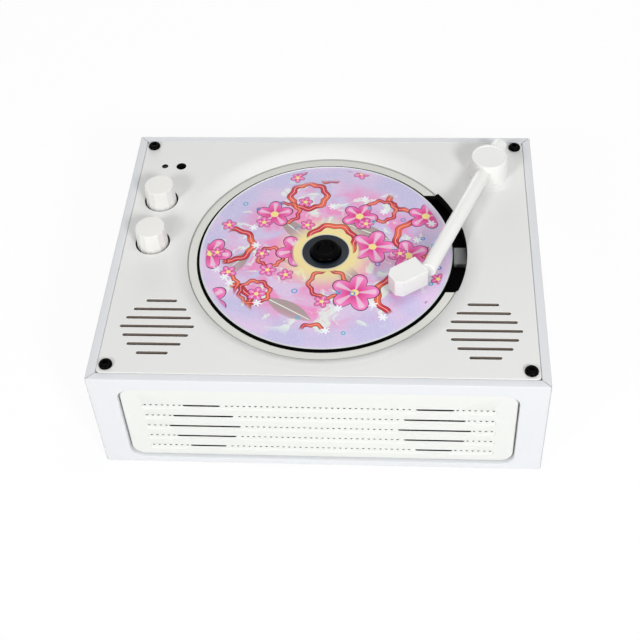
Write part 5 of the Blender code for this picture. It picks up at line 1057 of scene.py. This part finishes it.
def makeScrews():
    look = screwLook
    low, high = look["heights"]
    radius, (shank, tip), (socket, depth), (flat, side) = (look[key] for key in ("radius", "shank", "hex", "dome"))
    angles = np.linspace(0, math.pi / 2, 10)
    foot = low + side
    dome = [(flat + (radius - flat) * math.sin(a), foot + (high - foot) * math.cos(a)) for a in angles]
    start, end, cut = look["thread"]
    levels = np.arange(start, tip + end, -look["pitch"] / 2)
    thread = [(shank - k % 2 * cut, z) for k, z in enumerate(levels)]
    hexagon = [(0, high - depth), (socket, high - depth), (socket, high - 0.05), (socket + 0.1, high)]
    rest = [*dome, (radius, low + 0.1), (radius - 0.1, low), (shank, low), *thread, (look["tip"], tip), (0, tip)]
    share = [1, 1, 1, 0.7] + [0] * len(rest)
    for corner, sx, sy in corners:
        form = turnedForm(hexagon + rest, 48, screwSpot(sx, sy), 6, share)
        form.piece(f"screw_{corner}", "case", f"deck_screw_{corner}", "screw", weld=0.001)
    print("screws made")


# Feet: rubber pads with a hollow face
footLook = {"radius": 6.0, "heights": (0.0, 1.2), "hollow": (4.2, 0.25, 0.4), "edges": (0, 0.1, 0.15, 0.35, 0.1, 0)}


def makeFeet():
    look = footLook
    low, high = look["heights"]
    radius, (ring, sink, slope) = look["radius"], look["hollow"]
    profile = [(0, low + sink), (ring - slope, low + sink), (ring, low), (radius, low), (radius, high), (0, high)]
    profile = rounded(profile, look["edges"], 4)
    for corner, _, _ in corners:
        first, last = boxOf(f"foot_{corner}")
        pad = turnedForm(profile, 64, ((first + last) / 2)[:2])
        pad.piece(f"pad_{corner}", "case", f"foot_{corner}", "rubber")
    print("feet made")


# Bracket: a grey block in the window
bracketLook = {"front": 2.0, "back": 0.5, "edge": 0.35}  # the first two are taken off the solid's ends


def makeBracket():
    look = bracketLook
    low, high = boxOf("rail_bracket")
    block = roundedBlock(low + (0, look["front"], 0), high - (0, look["back"], 0), look["edge"])
    block.piece("bracket", "case", "rail_bracket", "grey")
    print("bracket made")


# Hub: a glossy cone with a dished top and three round catches, on its flange
hubLook = {
    "top": 60.4,
    "cone": 7.2,
    "lead": (5.9, 59.3),  # where the cone's shoulder starts and ends
    "dish": (4.2, 1.2),  # radius, depth
    "flange": (14.5, 56.5, 54.3),
    "neck": (4.8, 50.3),
    "shaft": (1.0, 41.1),
    "edges": (0, 0.4, 0.25, 0.5, 0.6, 0.1, 0.3, 0.3, 0.2, 0.2, 0.1, 0.1, 0),
    "catch": (1.1, 6.2, 58.55),  # radius, distance from the axis, height
}


def makeHub():
    look = hubLook
    top, cone = look["top"], look["cone"]
    dish, depth = look["dish"]
    inner, shoulder = look["lead"]
    flange, upper, lower = look["flange"]
    (neck, neckEnd), (shaft, shaftEnd) = look["neck"], look["shaft"]
    profile = [(0, top - depth), (dish - depth * 0.6, top - depth), (dish, top), (inner, top), (cone, shoulder),
               (cone, upper), (flange, upper), (flange, lower), (neck, lower), (neck, neckEnd), (shaft, neckEnd),
               (shaft, shaftEnd), (0, shaftEnd)]
    form = turnedForm(rounded(profile, look["edges"]), 96, case["spindle"])
    radius, away, z = look["catch"]
    bend = np.linspace(math.pi / 2, -math.pi / 2, 13)
    ball = np.column_stack([radius * np.cos(bend), z + radius * np.sin(bend)])
    for k in range(3):
        angle = turn * (k + 0.5) / 3
        spot = np.array(case["spindle"]) + away * np.array([math.cos(angle), math.sin(angle)])
        form.join(turnedForm(ball, 24, spot))
    form.piece("hub_cone", "spindle", "turntable_hub", "gloss")
    print("hub made")


# Disc: its profile starts and ends on the upper face
discLook = {"hole": 7.5, "radius": 60.0, "heights": (56.8, 58.0), "edge": 0.2, "start": 34.0}


def makeDisc():
    look = discLook
    (low, high), radius, hole = look["heights"], look["radius"], look["hole"]
    start = (look["start"], high)
    profile = [start, (radius, high), (radius, low), (hole, low), (hole, high), start]
    profile = rounded(profile, [0, *[look["edge"]] * 4, 0], 4)
    turnedForm(profile, 240, case["spindle"]).piece("disc", "spindle", "compact_disc", "disc")
    print("disc made")


for make in (makeWalls, makeDeck, makeGrille, makeKnobs, makeTonearm, makeScrews, makeFeet, makeBracket, makeHub,
             makeDisc):
    make()


# The nodes that keep their own mesh take a finish
keptNodes = {
    "wall": ["bottom_plate"],
    "black": ["headphone_jack", "mechanism_chassis", "pickup_sled", "power_slider"],
    "steel": ["volume_shaft", "mode_shaft", "tonearm_shaft", "tonearm_clip", "spindle_motor", "guide_rod_front",
              "guide_rod_back", "sled_motor", "gear_pin", "power_switch", "charge_socket"],
    "blackSteel": ["volume_pot", "mode_encoder", "speaker_basket_left", "speaker_basket_right"],
    "nylon": ["mode_plunger", "motor_pinion", "drive_gear"],
    "rubber": [f"isolator_{corner}" for corner, _, _ in corners],
    "board": ["control_board", "main_board"],
    "paper": ["speaker_cone_left", "speaker_cone_right"],
    "ferrite": ["speaker_magnet_left", "speaker_magnet_right"],
    "lamp": ["indicator_lens"],
    "lens": ["objective_lens"],
    "wrap": ["battery"],
}
for finish, nodes in keptNodes.items():
    for node in nodes:
        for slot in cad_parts[node].material_slots:
            slot.material = finishes[finish]
print("finishes given to", sum(map(len, keptNodes.values())), "kept nodes")


# Camera and light
studio = {
    "place": (0.0388765, -0.4033284, 0.4779951),
    "turns": (0.1025, 0.7666, -0.0638),  # about Z, then X, then Z
    "lens": 69.51,
    "sensor": 36.0,
    "shift": -0.1,
    "nearest": 0.01,
    "sky": 0.26,
    "target": (0.0, 0.0, 0.04),
    "lamps": (  # place, size, power
        ((0.58, -0.98, 0.84), 0.3, 10.0),
        ((-0.62, -0.89, 0.82), 0.3, 5.9),
        ((0.28, 0.05, 1.05), 0.5, 1.9),
        ((-0.20, 1.10, 0.30), 0.6, 3.0),
    ),
    "floorReach": 6.0,
    "floorTones": ((0.965, 0.965, 0.965), (0.975, 0.975, 0.975)),
    "floorShade": 0.08,  # how much of the floor's own light shows to the camera
}


def makeCamera():
    data = bpy.data.cameras.new("camera")
    data.sensor_width = studio["sensor"]
    data.lens = studio["lens"]
    data.shift_y = studio["shift"]
    data.clip_start = studio["nearest"]
    camera = newObject("camera", data)
    first, tilt, last = (Matrix.Rotation(angle, 4, axis) for angle, axis in zip(studio["turns"], "ZXZ"))
    camera.matrix_world = Matrix.Translation(studio["place"]) @ first @ tilt @ last
    bpy.context.scene.camera = camera


def makeLamps():
    for k, (place, size, power) in enumerate(studio["lamps"]):
        data = bpy.data.lights.new(f"lamp{k}", "AREA")
        data.shape = "DISK"
        data.size = size
        data.energy = power
        lamp = newObject(f"lamp{k}", data)
        lamp.location = place
        lamp.rotation_euler = (Vector(studio["target"]) - Vector(place)).to_track_quat("-Z", "Y").to_euler()


def seenDirectly(tree):
    # 1 for what the camera sees itself, or in a gloss, or through something clear
    paths = tree.node("ShaderNodeLightPath").outputs
    reflected = tree.maths("MAXIMUM", paths["Is Glossy Ray"], paths["Is Transmission Ray"])
    return tree.maths("MAXIMUM", paths["Is Camera Ray"], reflected)


def makeWorld():
    world = bpy.data.worlds.new("studioSky")
    world.use_nodes = True
    tree = NodeTree(world.node_tree)
    background = tree.nodes["Background"]
    background.inputs["Color"].default_value = (1, 1, 1, 1)
    tree.join(background.inputs["Strength"], seenDirectly(tree) * (1 - studio["sky"]) + studio["sky"])
    bpy.context.scene.world = world


def makeFloor():
    bench = Bench("studioFloor", (0.97, 0.97, 0.97), 0.9)
    bench.set("Base Color", bench.blend(bench.noise(40.0), *studio["floorTones"]))
    glow = bench.node("ShaderNodeEmission").outputs[0]
    own = seenDirectly(bench) * (1 - studio["floorShade"])
    mixed = bench.node("ShaderNodeMixShader", None, i0=own, i1=bench.shader.outputs[0], i2=glow).outputs[0]
    bench.join(bench.nodes["Material Output"].inputs["Surface"], mixed)
    mesh = bpy.data.meshes.new("floor")
    reach = studio["floorReach"]
    mesh.from_pydata([(x * reach, y * reach, 0) for x, y in ((-1, -1), (1, -1), (1, 1), (-1, 1))], [], [(0, 1, 2, 3)])
    mesh.materials.append(bench.material)
    floor = newObject("floor", mesh)


makeCamera()
makeLamps()
makeWorld()
makeFloor()
bpy.context.scene.view_settings.view_transform = "Standard"
print("camera, lamps, sky and floor made")
